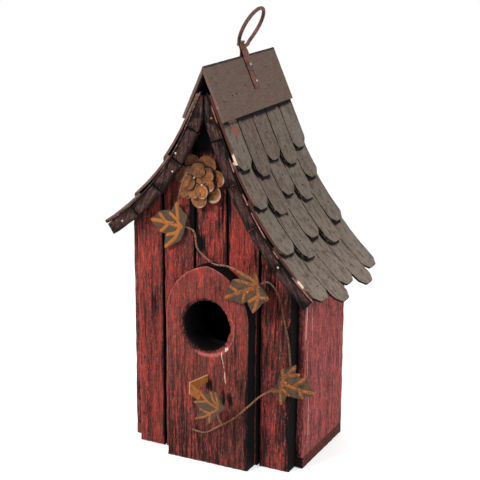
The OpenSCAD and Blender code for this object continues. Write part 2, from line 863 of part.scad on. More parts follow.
module leaf_nail(at, spot, y_end) {
    color(nail_grey)
        trim_nail(at[0] + spot[0], at[1] - tin_t - vein_h, at[2] + spot[1], y_end);
}

module leaf_nails() {
    leaf_nail(leaf_1_at, leaf_1_nail, slat_y);
    leaf_nail(leaf_2_at, leaf_2_nail, plaque_y);
    leaf_nail(leaf_3_at, leaf_3_nail, slat_y);
}

// A strip that stands out of the plaque and folds into a leaf that faces forwards
module perch_leaf() {
    run = perch_root - perch_fold;
    length = norm([run[0], run[1]]);
    color(rust)
        translate(perch_fold)
            rotate([0, 0, atan2(run[1], run[0])])
                along_y(-tin_t, 0)
                    polygon([
                        [0, -perch_fold_h / 2], [length, run[2] - perch_root_h / 2],
                        [length, run[2] + perch_root_h / 2], [0, perch_fold_h / 2]
                    ]);
    color(leaf_grey)
        translate([0, perch_leaf_at[1], 0])
            along_y(-tin_t, 0) {
                translate([perch_leaf_at[0], perch_leaf_at[2]]) polygon(leaf_points(perch_rim));
                polygon([
                    [perch_fold[0], perch_fold[2] - perch_fold_h / 2],
                    [perch_leaf_at[0], perch_leaf_at[2]] + perch_join_low,
                    [perch_leaf_at[0], perch_leaf_at[2]] + perch_join_high,
                    [perch_fold[0], perch_fold[2] + perch_fold_h / 2]
                ]);
            }
}

// ---- Clean-out cover -----------------------------------------------------------------

// A round paddle with a smaller round boss at the pivot and straight flanks between
module cover_profile() {
    reach = pivot_z - cleanout_z;
    side_a = acos((cover_r - pivot_boss_r) / reach);
    translate([0, cleanout_z]) circle(r = cover_r, $fn = 120);
    translate([0, pivot_z]) circle(r = pivot_boss_r, $fn = 60);
    polygon([
        [cover_r * sin(side_a), cleanout_z + cover_r * cos(side_a)],
        [pivot_boss_r * sin(side_a), pivot_z + pivot_boss_r * cos(side_a)],
        [-pivot_boss_r * sin(side_a), pivot_z + pivot_boss_r * cos(side_a)],
        [-cover_r * sin(side_a), cleanout_z + cover_r * cos(side_a)]
    ]);
}

module cleanout_cover() {
    color(red)
        difference() {
            along_y(cover_y, cover_y + cover_t) cover_profile();
            translate([0, cover_y - cut, pivot_z])
                rotate([-90, 0, 0])
                    cylinder(h = cover_t + 2 * cut, d = pivot_d + 2 * pivot_play, $fn = 48);
        }
}

module cleanout_screw() {
    color(nail_grey)
        translate([0, back_y - wall_t, pivot_z])
            rotate([-90, 0, 0]) {
                cylinder(h = screw_head_y - back_y + wall_t, d = pivot_d, $fn = 48);
                translate([0, 0, screw_head_y - back_y + wall_t])
                    cylinder(h = screw_head_h, r1 = screw_head_r, r2 = screw_top_r, $fn = 48);
            }
}

// ---- Nodes ---------------------------------------------------------------------------

floor_board();
side_wall(LEFT);  // left_side_wall
side_wall(RIGHT);  // right_side_wall
back_wall();
front_panel();
front_slat(1);  // front_slat_1
front_slat(2);  // front_slat_2
front_slat(3);  // front_slat_3
front_slat(4);  // front_slat_4
front_slat(5);  // front_slat_5
entrance_plaque();
roof_deck(LEFT);  // roof_deck_left
roof_deck(RIGHT);  // roof_deck_right
ridge_cap(LEFT);  // ridge_cap_left
ridge_cap(RIGHT);  // ridge_cap_right
shingle_course(LEFT, 1);  // shingle_course_left_1
shingle_course(LEFT, 2);  // shingle_course_left_2
shingle_course(LEFT, 3);  // shingle_course_left_3
shingle_course(RIGHT, 1);  // shingle_course_right_1
shingle_course(RIGHT, 2);  // shingle_course_right_2
shingle_course(RIGHT, 3);  // shingle_course_right_3
shingle_course(RIGHT, 4);  // shingle_course_right_4
bargeboard(LEFT, 1);  // bargeboard_left_1
bargeboard(LEFT, 2);  // bargeboard_left_2
bargeboard(LEFT, 3);  // bargeboard_left_3
bargeboard(LEFT, 4);  // bargeboard_left_4
bargeboard(LEFT, 5);  // bargeboard_left_5
bargeboard(RIGHT, 1);  // bargeboard_right_1
bargeboard(RIGHT, 2);  // bargeboard_right_2
bargeboard(RIGHT, 3);  // bargeboard_right_3
bargeboard(RIGHT, 4);  // bargeboard_right_4
bargeboard(RIGHT, 5);  // bargeboard_right_5
hanger();
hanger_nails();
flower_outer_petals();
flower_inner_petals();
flower_nails();
leaf(leaf_1_at, leaf_1_rim, leaf_1_nail);  // ivy_leaf_1
leaf(leaf_2_at, leaf_2_rim, leaf_2_nail);  // ivy_leaf_2
leaf(leaf_3_at, leaf_3_rim, leaf_3_nail);  // ivy_leaf_3
leaf_nails();
perch_leaf();
wire(stem_path);  // flower_stem_wire
wire(upper_path);  // vine_wire_upper
wire(side_path);  // vine_wire_side
wire(lower_path);  // vine_wire_lower
wire(perch_stem_path);  // perch_stem_wire
cleanout_cover();
cleanout_screw();
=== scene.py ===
"""Rustic board-built birdhouse with a flared shingle roof and tin ivy trim.

Metres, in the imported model's own frame: +Z up, the front faces -Y. Each visible piece stands
for one CAD node, apart from some small nails and two parts of the perch, which are extra.
Wooden pieces start as a copy of their node's mesh, which is bevelled, cut into a grid that
follows the grain, and worn; tin and wire pieces are built from their curves.
"""

import math
import random

import bmesh
import bpy
from mathutils import Matrix, Vector, noise
from mathutils.bvhtree import BVHTree
from mathutils.kdtree import KDTree


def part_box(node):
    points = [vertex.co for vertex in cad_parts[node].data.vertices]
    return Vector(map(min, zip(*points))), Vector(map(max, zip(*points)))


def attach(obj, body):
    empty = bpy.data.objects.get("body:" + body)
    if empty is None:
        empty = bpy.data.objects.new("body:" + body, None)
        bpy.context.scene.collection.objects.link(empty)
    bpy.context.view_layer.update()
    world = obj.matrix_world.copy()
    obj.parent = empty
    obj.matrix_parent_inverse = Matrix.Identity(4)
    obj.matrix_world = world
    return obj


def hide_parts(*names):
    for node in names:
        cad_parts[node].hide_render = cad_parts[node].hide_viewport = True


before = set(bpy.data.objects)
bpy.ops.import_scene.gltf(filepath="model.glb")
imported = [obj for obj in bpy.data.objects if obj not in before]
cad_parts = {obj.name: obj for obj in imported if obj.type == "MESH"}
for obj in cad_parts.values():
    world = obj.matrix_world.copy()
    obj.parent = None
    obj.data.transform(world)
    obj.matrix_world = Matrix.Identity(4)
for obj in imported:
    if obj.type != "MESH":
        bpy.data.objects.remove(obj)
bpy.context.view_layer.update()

MM = 0.001
UP = Vector((0, 0, 1))
RIGHTWARDS = Vector((1, 0, 0))
BACKWARDS = Vector((0, 1, 0))
FRONTWARDS = Vector((0, -1, 0))
HOUSE = "house"
COVER = "cleanout_cover"

# Main planes and sizes, in metres, as the CAD has them
SLAT_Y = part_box("front_slat_1")[0].y
PANEL_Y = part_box("front_slat_1")[1].y
PLAQUE_LOW, PLAQUE_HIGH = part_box("entrance_plaque")
PLAQUE_Y = PLAQUE_LOW.y
PLAQUE_X = (PLAQUE_LOW.x + PLAQUE_HIGH.x) / 2
HALF_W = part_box("right_side_wall")[1].x
INNER_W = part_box("right_side_wall")[0].x
ROOF_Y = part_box("ridge_cap_right")[0].y
# The entrance bore's centre and radius, and the middle of the ridge
HOLE = Vector((PLAQUE_X, PLAQUE_Y, 0.1005))
HOLE_R = 19 * MM
RIDGE = Vector((-0.0007, 0.006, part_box("ridge_cap_right")[1].z))


# ---- Small helpers ---------------------------------------------------------------------


def mm(x, y, z):
    return Vector((x, y, z)) * MM


def clamp(value, low=0.0, high=1.0):
    return max(low, min(high, value))


def fade(value, start, end):
    """1 at or before start, falling to 0 at end."""
    return clamp((end - value) / (end - start))


def wander(x, y, z):
    """Smooth noise between -1 and 1; one step in x, y or z is about one blotch."""
    return noise.noise(Vector((x, y, z)))


def random_shift(rng, reach):
    """A random offset, so that no two boards or plates take the same part of a noise."""
    return Vector([rng.uniform(0, reach) for _ in range(3)])


# ---- Node graphs -----------------------------------------------------------------------


def linear(colour):
    """A display colour, three values from 0 to 255, as the linear colour that shaders take."""
    def one(value):
        value /= 255.0
        return value / 12.92 if value <= 0.04045 else ((value + 0.055) / 1.055) ** 2.4
    return tuple(one(value) for value in colour) + (1.0,)


class Nodes:
    """A cleared node tree, and a short call that adds a node to it."""

    def __init__(self, tree):
        self.tree = tree
        tree.nodes.clear()

    def feed(self, value, target):
        """Gives an input another node's output, a display colour or a plain value."""
        if isinstance(value, bpy.types.NodeSocket):
            self.tree.links.new(value, target)
        elif target.type == "RGBA":
            target.default_value = linear(value)
        else:
            target.default_value = value

    def add(self, kind, inputs, operation=None):
        """Adds a node. inputs gives what its inputs take, by name or number."""
        node = self.tree.nodes.new("ShaderNode" + kind)
        if operation:
            node.operation = operation
        for key, value in inputs.items():
            self.feed(value, node.inputs[key])
        return node

    def math(self, operation, a, b):
        return self.add("Math", {0: a, 1: b}, operation).outputs[0]

    def step(self, value, low, high):
        """0 below low, 1 above high, and smooth between; low may be the larger one."""
        node = self.add("MapRange", {"Value": value, "From Min": low, "From Max": high})
        node.interpolation_type = "SMOOTHSTEP"
        return node.outputs["Result"]

    def seen_directly(self):
        """1 for rays from the camera and for reflections, 0 for light that falls on things."""
        path = self.add("LightPath", {}).outputs
        seen = self.math("MAXIMUM", path["Is Camera Ray"], path["Is Glossy Ray"])
        return self.math("MAXIMUM", seen, path["Is Transmission Ray"])


class Graph(Nodes):
    """The nodes of a material for pieces that carry grain coordinates and masks."""

    def __init__(self, name, specular, metallic=0.0):
        self.material = bpy.data.materials.new(name)
        self.material.use_nodes = True
        super().__init__(self.material.node_tree)
        self.shader = self.add("BsdfPrincipled", {
            "Specular IOR Level": specular, "Metallic": metallic})
        self.add("OutputMaterial", {"Surface": self.shader.outputs["BSDF"]})
        self.grain = self.attribute("grain").outputs["Vector"]

    def attribute(self, name):
        node = self.add("Attribute", {})
        node.attribute_name = name
        return node

    def mask(self, name):
        return self.attribute(name).outputs["Fac"]

    def noise(self, along, across, detail, roughness, distortion=0.0):
        """Noise in blotches of the given lengths along and across the grain, in millimetres."""
        scale = (1 / along, 1 / across, 1 / across)
        place = self.add("VectorMath", {0: self.grain, 1: scale}, "MULTIPLY")
        return self.add("TexNoise", {
            "Vector": place.outputs[0], "Scale": 1.0, "Detail": detail,
            "Roughness": roughness, "Distortion": distortion}).outputs["Fac"]

    def total(self, *terms):
        """The sum of value * factor over the terms, plus any that stand alone."""
        result = None
        for term in terms:
            part = self.math("MULTIPLY", *term) if isinstance(term, tuple) else term
            result = part if result is None else self.math("ADD", result, part)
        return result

    def mix(self, under, over, share, strength=1.0):
        """over on top of under, with share from 0 to 1 times the strength."""
        if strength < 1.0:
            share = self.math("MULTIPLY", share, strength)
        node = self.tree.nodes.new("ShaderNodeMix")
        node.data_type = "RGBA"
        for key, value in (("Factor", share), ("A", under), ("B", over)):
            self.feed(value, node.inputs[key])
        return node.outputs["Result"]

    def lay(self, under, over, terms, low, high, strength=1.0):
        """over on top of under, growing as the total of the terms goes from low to high."""
        return self.mix(under, over, self.step(self.total(*terms), low, high), strength)

    def finish(self, colour, roughness, height, depth, strength):
        """Ends the graph; height bumps the surface by up to depth metres."""
        bump = self.add("Bump", {"Height": height, "Distance": depth, "Strength": strength})
        self.feed(bump.outputs["Normal"], self.shader.inputs["Normal"])
        self.feed(colour, self.shader.inputs["Base Color"])
        self.feed(roughness, self.shader.inputs["Roughness"])
        return self.material


# ---- Materials -------------------------------------------------------------------------
# Every mesh carries "grain", its own coordinates in millimetres with X along the grain and a
# random shift for each board or plate. It also carries masks: "worn" near edges, "dark" where
# it is grimy and where shade is painted in, and on wood "pale" where it is chipped, "stain"
# where it is red and "board", a tone of each board, which on the lower shingles is taken below 0
# as painted light. Tin has "board" too, and "vein" on what is raised. Materials take display
# colours, as the photo shows them.

# The black of the "dark" mask on painted wood, for grime and for painted shade
GRIME_AND_SHADE_BLACK = (10, 9, 11)


def painted_wood(name, loss, bright, deep, streak, char, highlight, edge, chip):
    """Old paint over rough wood: bare streaks along the grain, rubbed edges, chips.

    bright and deep are the paint, char and streak the bare wood; loss bares more of it.
    """
    g = Graph(name, 0.09)
    broad = g.noise(55, 9, 2.0, 0.6)
    bands = g.noise(20, 3.0, 5.0, 0.62, 0.9)
    figure = g.noise(11, 2.2, 4.0, 0.6, 1.4)
    lines = g.noise(13, 0.9, 3.0, 0.6)
    flecks = g.noise(2.6, 0.85, 3.0, 0.65)
    chatter = g.noise(1.1, 2.4, 2.0, 0.6)
    cracks = g.noise(34, 1.7, 3.0, 0.62, 0.5)
    grit = g.noise(4.0, 0.95, 3.0, 0.7)
    dark = g.mask("dark")

    paint = g.lay(deep, bright, [(figure, 0.6), (flecks, 0.4)], 0.45, 0.56)
    paint = g.lay(paint, highlight, [(lines, 0.5), (chatter, 0.5)], 0.54, 0.62, 0.45)
    wood = g.lay(char, streak, [(flecks, 0.6), (lines, 0.4)], 0.44, 0.56)
    bare = g.total(
        (bands, 0.36), (figure, 0.22), (lines, 0.5), (flecks, 0.6), (dark, 0.15), (broad, 0.2))
    bare = g.step(bare, 0.92 - loss, 1.02 - loss)
    colour = g.mix(paint, wood, bare, 0.92)
    colour = g.lay(colour, char, [grit], 0.54, 0.64, 0.4)
    colour = g.lay(colour, highlight, [grit], 0.45, 0.36, 0.3)
    splits = [(cracks, 0.75), (flecks, 0.25), (dark, 0.08)]
    colour = g.lay(colour, char, splits, 0.535, 0.6, 0.8)
    rubbed = [(g.mask("worn"), 0.85), (flecks, 0.5), (chatter, 0.35)]
    colour = g.lay(colour, edge, rubbed, 0.86, 1.14, 0.7)
    # Grime and painted shade from the "dark" mask turn the wood black
    grime_and_shade = [(dark, 1.0), (cracks, 0.6), (flecks, 0.4), (lines, 0.5), (grit, 0.15)]
    colour = g.lay(colour, GRIME_AND_SHADE_BLACK, grime_and_shade, 1.16, 1.56)
    chipped = [(g.mask("pale"), 1.0), (flecks, 0.6), (chatter, 0.3)]
    colour = g.lay(colour, chip, chipped, 0.9, 1.08)
    height = g.total((bands, 0.4), (lines, 0.6), (flecks, 0.4), (chatter, 0.1), (bare, -0.25))
    return g.finish(colour, g.total((bare, 0.18), 0.6), height, 1.3 * MM, 1.0)


WORN_RED = (142, 76, 66)


def weathered_wood(name, tones, grain_tone, blot, edge, chip, shade):
    """Thin boards under a stain: two tones from board to board, a faint grain, blots, black dirt
    and painted shade.
    """
    g = Graph(name, 0.1)
    broad = g.noise(26, 9, 3.0, 0.65)
    blots = g.noise(7, 4, 3.0, 0.6)
    fine = g.noise(9, 0.8, 3.0, 0.6)
    specks = g.noise(1.6, 0.9, 3.0, 0.7)
    board = g.mask("board")

    colour = g.lay(*tones, [(board, 0.8), (broad, 0.6)], 0.38, 1.02)
    # A board tone below 0 pales the colour: painted light on the lower shingles
    colour = g.lay(colour, edge, [board], 0.0, -0.9, 0.5)
    colour = g.lay(colour, grain_tone, [(fine, 0.6), (specks, 0.4)], 0.48, 0.6, 0.55)
    colour = g.lay(colour, blot, [blots], 0.5, 0.64, 0.75)
    colour = g.lay(colour, edge, [(specks, 0.6), (blots, 0.4)], 0.47, 0.38, 0.45)
    colour = g.lay(colour, shade, [specks], 0.6, 0.7, 0.7)
    rubbed = [(g.mask("worn"), 0.8), (specks, 0.6), (broad, 0.3)]
    colour = g.lay(colour, edge, rubbed, 0.95, 1.2, 0.8)
    # The "dark" mask is grime and painted shade
    grime_and_shade = [(g.mask("dark"), 1.0), (fine, 0.25), (specks, 0.2)]
    colour = g.lay(colour, shade, grime_and_shade, 0.62, 1.05)
    with_dark_patches = [(g.mask("stain"), 1.0), (specks, 0.35), (fine, 0.35)]
    colour = g.lay(colour, WORN_RED, with_dark_patches, 0.6, 1.1, 0.75)
    chipped = [(g.mask("pale"), 1.0), (specks, 0.45), (fine, 0.35)]
    colour = g.lay(colour, chip, chipped, 0.88, 1.02)
    height = g.total((fine, 0.5), (specks, 0.4), (blots, 0.3), (broad, 0.4))
    return g.finish(colour, 0.82, height, 0.7 * MM, 0.9)


PITTED_TIN = (46, 34, 30)
# The colour of the "dark" mask on tin: painted shade round the petals that lie in front and on
# the petals' backs, and dark tin beside the leaves' veins
TIN_CREVICE = (38, 26, 20)


def rusty_tin(name, field, field_deep, raised, raised_deep, edge):
    """Rusted tin plate: raised veins and some blotches are orange over a darker field."""
    g = Graph(name, 0.2)
    broad = g.noise(5.5, 5.5, 4.0, 0.65)
    fine = g.noise(1.1, 1.1, 4.0, 0.7)
    board = g.mask("board")

    tone = [(broad, 0.55), (fine, 0.35), (board, 0.3)]
    base = g.lay(field, field_deep, tone, 0.46, 0.72)
    base = g.lay(base, PITTED_TIN, [fine], 0.51, 0.64, 0.7)
    base = g.lay(base, raised_deep, [(broad, 0.7), (fine, 0.3)], 0.5, 0.4, 0.55)
    rust = [(fine, 0.6), (broad, 0.4), (board, 0.14)]
    ridge = g.lay(raised, raised_deep, rust, 0.44, 0.62)
    vein = [(g.mask("vein"), 1.0), (fine, 0.7), (broad, 0.4)]
    colour = g.lay(base, ridge, vein, 0.78, 1.16)
    colour = g.lay(colour, edge, [(g.mask("worn"), 0.9), (fine, 0.5)], 0.8, 1.15, 0.75)
    colour = g.lay(colour, TIN_CREVICE, [(g.mask("dark"), 1.0), (fine, 0.4)], 0.6, 1.2)
    height = g.total((fine, 0.6), (broad, 0.5))
    return g.finish(colour, g.total((fine, 0.35), 0.42), height, 0.4 * MM, 0.8)


# The colour of the "dark" mask on steel: painted shade between twisted strands and on the wire
# under the roof, and the darker wire of the hanger's loop
STEEL_CREVICE = (30, 22, 20)


def rusty_steel(name, light, deep, pit, scale, metallic=0.3):
    """Rusted wire, strap and nails; scale sets the size of the rust's blotches."""
    g = Graph(name, 0.22, metallic)
    broad = g.noise(5 * scale, 5 * scale, 4.0, 0.65)
    fine = g.noise(0.9 * scale, 0.9 * scale, 3.0, 0.7)
    colour = g.lay(light, deep, [(broad, 0.6), (fine, 0.4)], 0.4, 0.62)
    colour = g.lay(colour, pit, [fine], 0.58, 0.7)
    colour = g.lay(colour, STEEL_CREVICE, [(g.mask("dark"), 1.0), (fine, 0.3)], 0.5, 1.1)
    height = g.total((fine, 0.6), (broad, 0.4))
    return g.finish(colour, g.total((fine, 0.4), 0.36), height, 0.3 * MM, 0.8)


FRONT_RED = painted_wood(
    "front_red_paint", 0.0, bright=(203, 75, 63), deep=(148, 57, 51), streak=(94, 62, 55),
    char=(44, 33, 34), highlight=(212, 104, 94), edge=(180, 84, 76), chip=(226, 190, 172))
PLAQUE_RED = painted_wood(
    "plaque_red_paint", 0.005, bright=(192, 74, 64), deep=(142, 56, 51), streak=(104, 64, 55),
    char=(62, 43, 40), highlight=(210, 112, 102), edge=(204, 108, 100), chip=(236, 208, 190))
SIDE_RED = painted_wood(
    "side_red_paint", 0.0, bright=(200, 86, 80), deep=(142, 60, 59), streak=(98, 54, 52),
    char=(56, 37, 38), highlight=(222, 150, 144), edge=(172, 88, 84), chip=(214, 160, 152))
FLOOR_RED = painted_wood(
    "floor_red_paint", 0.03, bright=(150, 56, 52), deep=(112, 42, 40), streak=(80, 44, 40),
    char=(44, 28, 28), highlight=(176, 96, 92), edge=(150, 74, 68), chip=(206, 160, 146))
BARGE_BROWN = painted_wood(
    "bargeboard_paint", 0.06, bright=(122, 68, 60), deep=(88, 56, 50), streak=(76, 56, 50),
    char=(34, 26, 26), highlight=(150, 108, 98), edge=(166, 76, 74), chip=(206, 170, 154))
SHINGLE_GREY = weathered_wood(
    "shingle_stain", tones=((118, 107, 96), (105, 91, 82)), grain_tone=(68, 58, 51),
    blot=(88, 73, 65), edge=(144, 130, 119), chip=(228, 200, 172), shade=(18, 14, 15))
CAP_BROWN = weathered_wood(
    "ridge_cap_stain", tones=((104, 91, 81), (106, 87, 79)), grain_tone=(84, 70, 62),
    blot=(108, 80, 72), edge=(126, 99, 90), chip=(168, 112, 100), shade=(44, 32, 30))
DECK_WOOD = weathered_wood(
    "deck_stain", tones=((72, 52, 48), (62, 46, 44)), grain_tone=(46, 35, 33),
    blot=(56, 40, 38), edge=(196, 140, 124), chip=(214, 170, 150), shade=(20, 16, 16))
# Near-black painted shade for the inner front board, which is seen only through the bore and in
# narrow gaps
INTERIOR_SHADE_WOOD = weathered_wood(
    "interior_painted_shade", tones=((34, 27, 26), (30, 24, 24)), grain_tone=(22, 18, 18),
    blot=(26, 20, 20), edge=(44, 34, 32), chip=(80, 60, 52), shade=(14, 11, 12))
FLOWER_TIN = rusty_tin(
    "flower_rust", field=(140, 92, 56), field_deep=(82, 60, 46), raised=(176, 100, 44),
    raised_deep=(112, 68, 40), edge=(178, 152, 134))
LEAF_TIN = rusty_tin(
    "leaf_rust", field=(82, 68, 53), field_deep=(46, 38, 32), raised=(174, 102, 45),
    raised_deep=(100, 60, 33), edge=(146, 104, 66))
PERCH_TIN = rusty_tin(
    "perch_rust", field=(112, 74, 42), field_deep=(70, 50, 36), raised=(160, 94, 40),
    raised_deep=(100, 60, 33), edge=(214, 170, 132))
WIRE_STEEL = rusty_steel(
    "wire_rust", light=(158, 118, 90), deep=(104, 68, 48), pit=(58, 38, 30), scale=0.6)
HANGER_STEEL = rusty_steel(
    "hanger_rust", light=(112, 71, 57), deep=(58, 42, 38), pit=(32, 26, 25), scale=1.7,
    metallic=0.1)
NAIL_STEEL = rusty_steel(
    "nail_steel", light=(190, 180, 170), deep=(148, 134, 122), pit=(100, 80, 68), scale=0.5,
    metallic=0.5)
DARK_NAIL = rusty_steel(
    "dark_nail_steel", light=(44, 34, 32), deep=(34, 26, 25), pit=(22, 18, 18), scale=0.5,
    metallic=0.0)
RUST_NAIL = rusty_steel(
    "rusty_nail_steel", light=(190, 112, 54), deep=(150, 84, 44), pit=(96, 56, 34), scale=0.5)


# ---- Mesh helpers ----------------------------------------------------------------------

# Edges of finished wood, tin and steel that bend by less than this are shaded smooth
WOOD_SMOOTH, TIN_SMOOTH, STEEL_SMOOTH = (math.radians(angle) for angle in (38, 48, 50))
# Edges of the CAD's wood that bend by more than this are worn; flatter ones are dropped
SHARP_ANGLE, FLAT_ANGLE = math.radians(24), math.radians(0.4)


def piece(name, mesh, material, nodes=(), body=HOUSE):
    """Puts a finished mesh into the scene as a piece that rides on a body."""
    mesh.name = name
    mesh.materials.append(material)
    made = bpy.data.objects.new(name, mesh)
    bpy.context.scene.collection.objects.link(made)
    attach(made, body)
    if nodes:
        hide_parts(*nodes)


def joined(parts):
    """One bmesh with all vertices and faces of the parts, in their order."""
    whole = bmesh.new()
    for bm in parts:
        bm.verts.index_update()
        made = [whole.verts.new(v.co) for v in bm.verts]
        for face in bm.faces:
            whole.faces.new([made[v.index] for v in face.verts])
        bm.free()
    return whole


def edge_points(edges, spacing):
    """Points along the edges, about spacing apart."""
    points = []
    for edge in edges:
        start, end = edge.verts[0].co, edge.verts[1].co
        count = max(1, round((end - start).length / spacing))
        points.extend(start.lerp(end, i / count) for i in range(count + 1))
    return points


def nearest(points):
    """A function that gives the distance from a place to the nearest of the points."""
    tree = KDTree(len(points))
    for i, point in enumerate(points):
        tree.insert(point, i)
    tree.balance()
    return lambda co: tree.find(co)[2]


def into_mesh(bm, grain, masks, smooth_angle):
    """Ends a bmesh as a mesh with grain coordinates and masks; sharper edges stay sharp."""
    mesh = bpy.data.meshes.new("piece")
    bm.to_mesh(mesh)
    bm.free()
    attribute = mesh.attributes.new("grain", "FLOAT_VECTOR", "POINT")
    attribute.data.foreach_set("vector", [c for v in grain for c in v])
    for name, values in masks.items():
        attribute = mesh.attributes.new(name, "FLOAT", "POINT")
        attribute.data.foreach_set("value", values)
    mesh.shade_smooth()
    mesh.set_sharp_from_angle(angle=smooth_angle)
    return mesh


def node_islands(node):
    """The closed solids of a CAD node, each as its own bmesh with merged flat faces.

    The front ones come first, and of two that are equally far forward the upper one.
    """
    whole = bmesh.new()
    whole.from_mesh(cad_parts[node].data)
    bmesh.ops.remove_doubles(whole, verts=whole.verts, dist=1e-6)
    whole.verts.index_update()
    taken = set()
    islands = []
    for first in whole.verts:
        if first in taken:
            continue
        group = {first}
        stack = [first]
        while stack:
            vert = stack.pop()
            for edge in vert.link_edges:
                other = edge.other_vert(vert)
                if other not in group:
                    group.add(other)
                    stack.append(other)
        taken |= group
        island = bmesh.new()
        copies = {
            vert: island.verts.new(vert.co) for vert in sorted(group, key=lambda v: v.index)}
        for face in whole.faces:
            if face.verts[0] in group:
                island.faces.new([copies[v] for v in face.verts])
        bmesh.ops.dissolve_limit(
            island, angle_limit=FLAT_ANGLE, verts=island.verts, edges=island.edges)
        islands.append(island)
    whole.free()
    islands.sort(key=lambda bm: (
        min(v.co.y for v in bm.verts), -min(v.co.z for v in bm.verts)))
    return islands


def sharp_edges(bm):
    """The edges that get a bevel, and round which wood is worn."""
    return [e for e in bm.edges if e.is_manifold and e.calc_face_angle(0.0) > SHARP_ANGLE]


def slice_along(bm, axis, step, ends=()):
    """Cuts the mesh by planes square to axis, step apart, and near both ends."""
    reach = [v.co.dot(axis) for v in bm.verts]
    low, high = min(reach), max(reach)
    count = max(1, round((high - low) / step))
    cuts = [low + (high - low) * (i + 0.37) / count for i in range(count)]
    cuts += [low + e for e in ends] + [high - e for e in ends]
    for cut in cuts:
        if low + 1e-5 < cut < high - 1e-5:
            bmesh.ops.bisect_plane(
                bm, geom=bm.verts[:] + bm.edges[:] + bm.faces[:], dist=1e-7,
                plane_co=axis * cut, plane_no=axis)


# How far the wear of an edge reaches into a face
RUB_REACH = 1.3 * MM


def wood_island(bm, along, across, seed, bevel, fine, coarse, groove, chew):
    """Bevels, grids and wears one board. Returns its grain coordinates and edge wear."""
    shift = random_shift(random.Random(seed), 400)
    depth = along.cross(across)
    edge_distance = nearest(edge_points(sharp_edges(bm), 0.8 * MM))
    bmesh.ops.bevel(
        bm, geom=sharp_edges(bm), offset=bevel, segments=2, profile=0.6, affect="EDGES",
        clamp_overlap=True)
    slice_along(bm, along, coarse, (1.2 * MM, 3 * MM))
    slice_along(bm, across, fine, (0.8 * MM,))
    bm.normal_update()
    grain, worn, moves = [], [], []
    for vert in bm.verts:
        co = vert.co
        local = Vector((co.dot(along), co.dot(across), co.dot(depth))) * 1000 + shift
        rub = math.exp(-(edge_distance(co) / RUB_REACH) ** 2)
        ridge = wander(local.x / 24, local.y / 1.5, local.z / 1.5)
        hair = wander(local.x / 11, local.y / 0.8, local.z / 0.8)
        bite = noise.noise(Vector((local.x / 5, local.y / 3, local.z / 3)) + shift)
        sink = groove * (0.5 + 0.35 * ridge + 0.25 * hair) * (1 - 0.5 * rub)
        sink += chew * rub * max(0.0, 0.35 + bite)
        end_grain = abs(vert.normal.dot(along))
        moves.append(-vert.normal * sink * (1 - 0.7 * end_grain))
        grain.append(local)
        worn.append(rub)
    for vert, move in zip(bm.verts, moves):
        vert.co += move
    return grain, worn


def wooden_node(node, name, material, along, across, seed, paint, *, bevel=0.5 * MM,
                fine=0.85 * MM, coarse=6 * MM, groove=0.22 * MM, chew=0.5 * MM, body=HOUSE,
                shape=None):
    """Replaces a wooden CAD node by a worn board for each of its solids.

    along and across are the directions of the grain, or functions of a board that give them.
    A board is cut every coarse along the grain and every fine across it; its grooves are
    about groove deep, and its edges lose up to chew. shape(co) gives a further move of a
    point, and paint(co, normal, worn) its masks.
    """
    islands = node_islands(node)
    grain = []
    masks = {key: [] for key in ("worn", "dark", "pale", "stain", "board")}
    for i, bm in enumerate(islands):
        way = along(bm) if callable(along) else along
        side = across(bm) if callable(across) else across
        local, rubbed = wood_island(
            bm, way, side, seed + 17 * i, bevel, fine, coarse, groove, chew)
        grain += local
        if shape:
            for vert in bm.verts:
                vert.co += shape(vert.co)
        bm.normal_update()
        tone = random.Random(seed + 17 * i + 5).random()
        for vert, rub in zip(bm.verts, rubbed):
            found = paint(vert.co, vert.normal, rub)
            # Painted light takes a board's tone down to below 0, which pales it
            bleach = found.get("bleach", 0.0)
            masks["board"].append(tone * (1 - bleach) - bleach)
            for key in ("worn", "dark", "pale", "stain"):
                masks[key].append(found.get(key, 0.0))
    whole = joined(islands)
    whole.normal_update()
    piece(name, into_mesh(whole, grain, masks, WOOD_SMOOTH), material, (node,), body)


# ---- Where wood is dark, worn or chipped -------------------------------------------------

# The masks of what lies in deep shade
BLACK = {"dark": 1.0, "worn": 0.0}


def spot(co, x, z, half_x, half_z):
    """1 at the middle of an upright oval on the front, 0 outside its ragged edge."""
    stray = wander(co.x * 420, 1, co.z * 36)
    across = (co.x - x + 2.2 * MM * stray) / half_x
    return clamp(1.0 + 0.5 * stray - math.hypot(across, (co.z - z) / half_z))


def with_dark_patches(co, dark, dark_patches):
    """dark, or the darkest of the patches of dirt and painted shade at this point of the front if
    that is more.
    """
    for x, z, half_x, half_z, strength in dark_patches:
        dark = max(dark, strength * spot(co, x, z, half_x, half_z))
    return dark


def in_bore(co):
    """True on the wall of the entrance bore."""
    return math.hypot(co.x - HOLE.x, co.z - HOLE.z) < HOLE_R + 0.4 * MM


def roof_line(side):
    """The underside of a roof slope, as (distance from the middle, height) points."""
    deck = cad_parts["roof_deck_right" if side > 0 else "roof_deck_left"].data
    chain = []
    for x, z in sorted((v.co.x * side, v.co.z) for v in deck.vertices):
        if not chain or x - chain[-1][0] > 0.5 * MM:
            chain.append([x, z])
        else:
            chain[-1][1] = min(chain[-1][1], z)
    return chain


ROOF_LINES = {side: roof_line(side) for side in (-1, 1)}


def below_roof(co):
    """How far a point lies under the roof's slope, in metres."""
    chain = ROOF_LINES[1 if co.x > RIDGE.x else -1]
    x = abs(co.x)
    for (x0, z0), (x1, z1) in zip(chain, chain[1:]):
        if x <= x1:
            share = clamp((x - x0) / (x1 - x0))
            return z0 + (z1 - z0) * share - co.z
    return chain[-1][1] - co.z


def roof_shade(co):
    """How dark the front is under the roof: a wide band on the left, and all of the peak."""
    wide = 20 * MM if co.x < RIDGE.x else (12 * MM + 0.2 * clamp(co.x, 0, 0.06))
    return max(fade(below_roof(co), 3 * MM, wide), fade(-co.z, -0.222, -0.212))


# The dark strip to the right of the plaque: its width and its top
PLAQUE_SHADE = 7 * MM
PLAQUE_SHOULDER_Z = 0.125


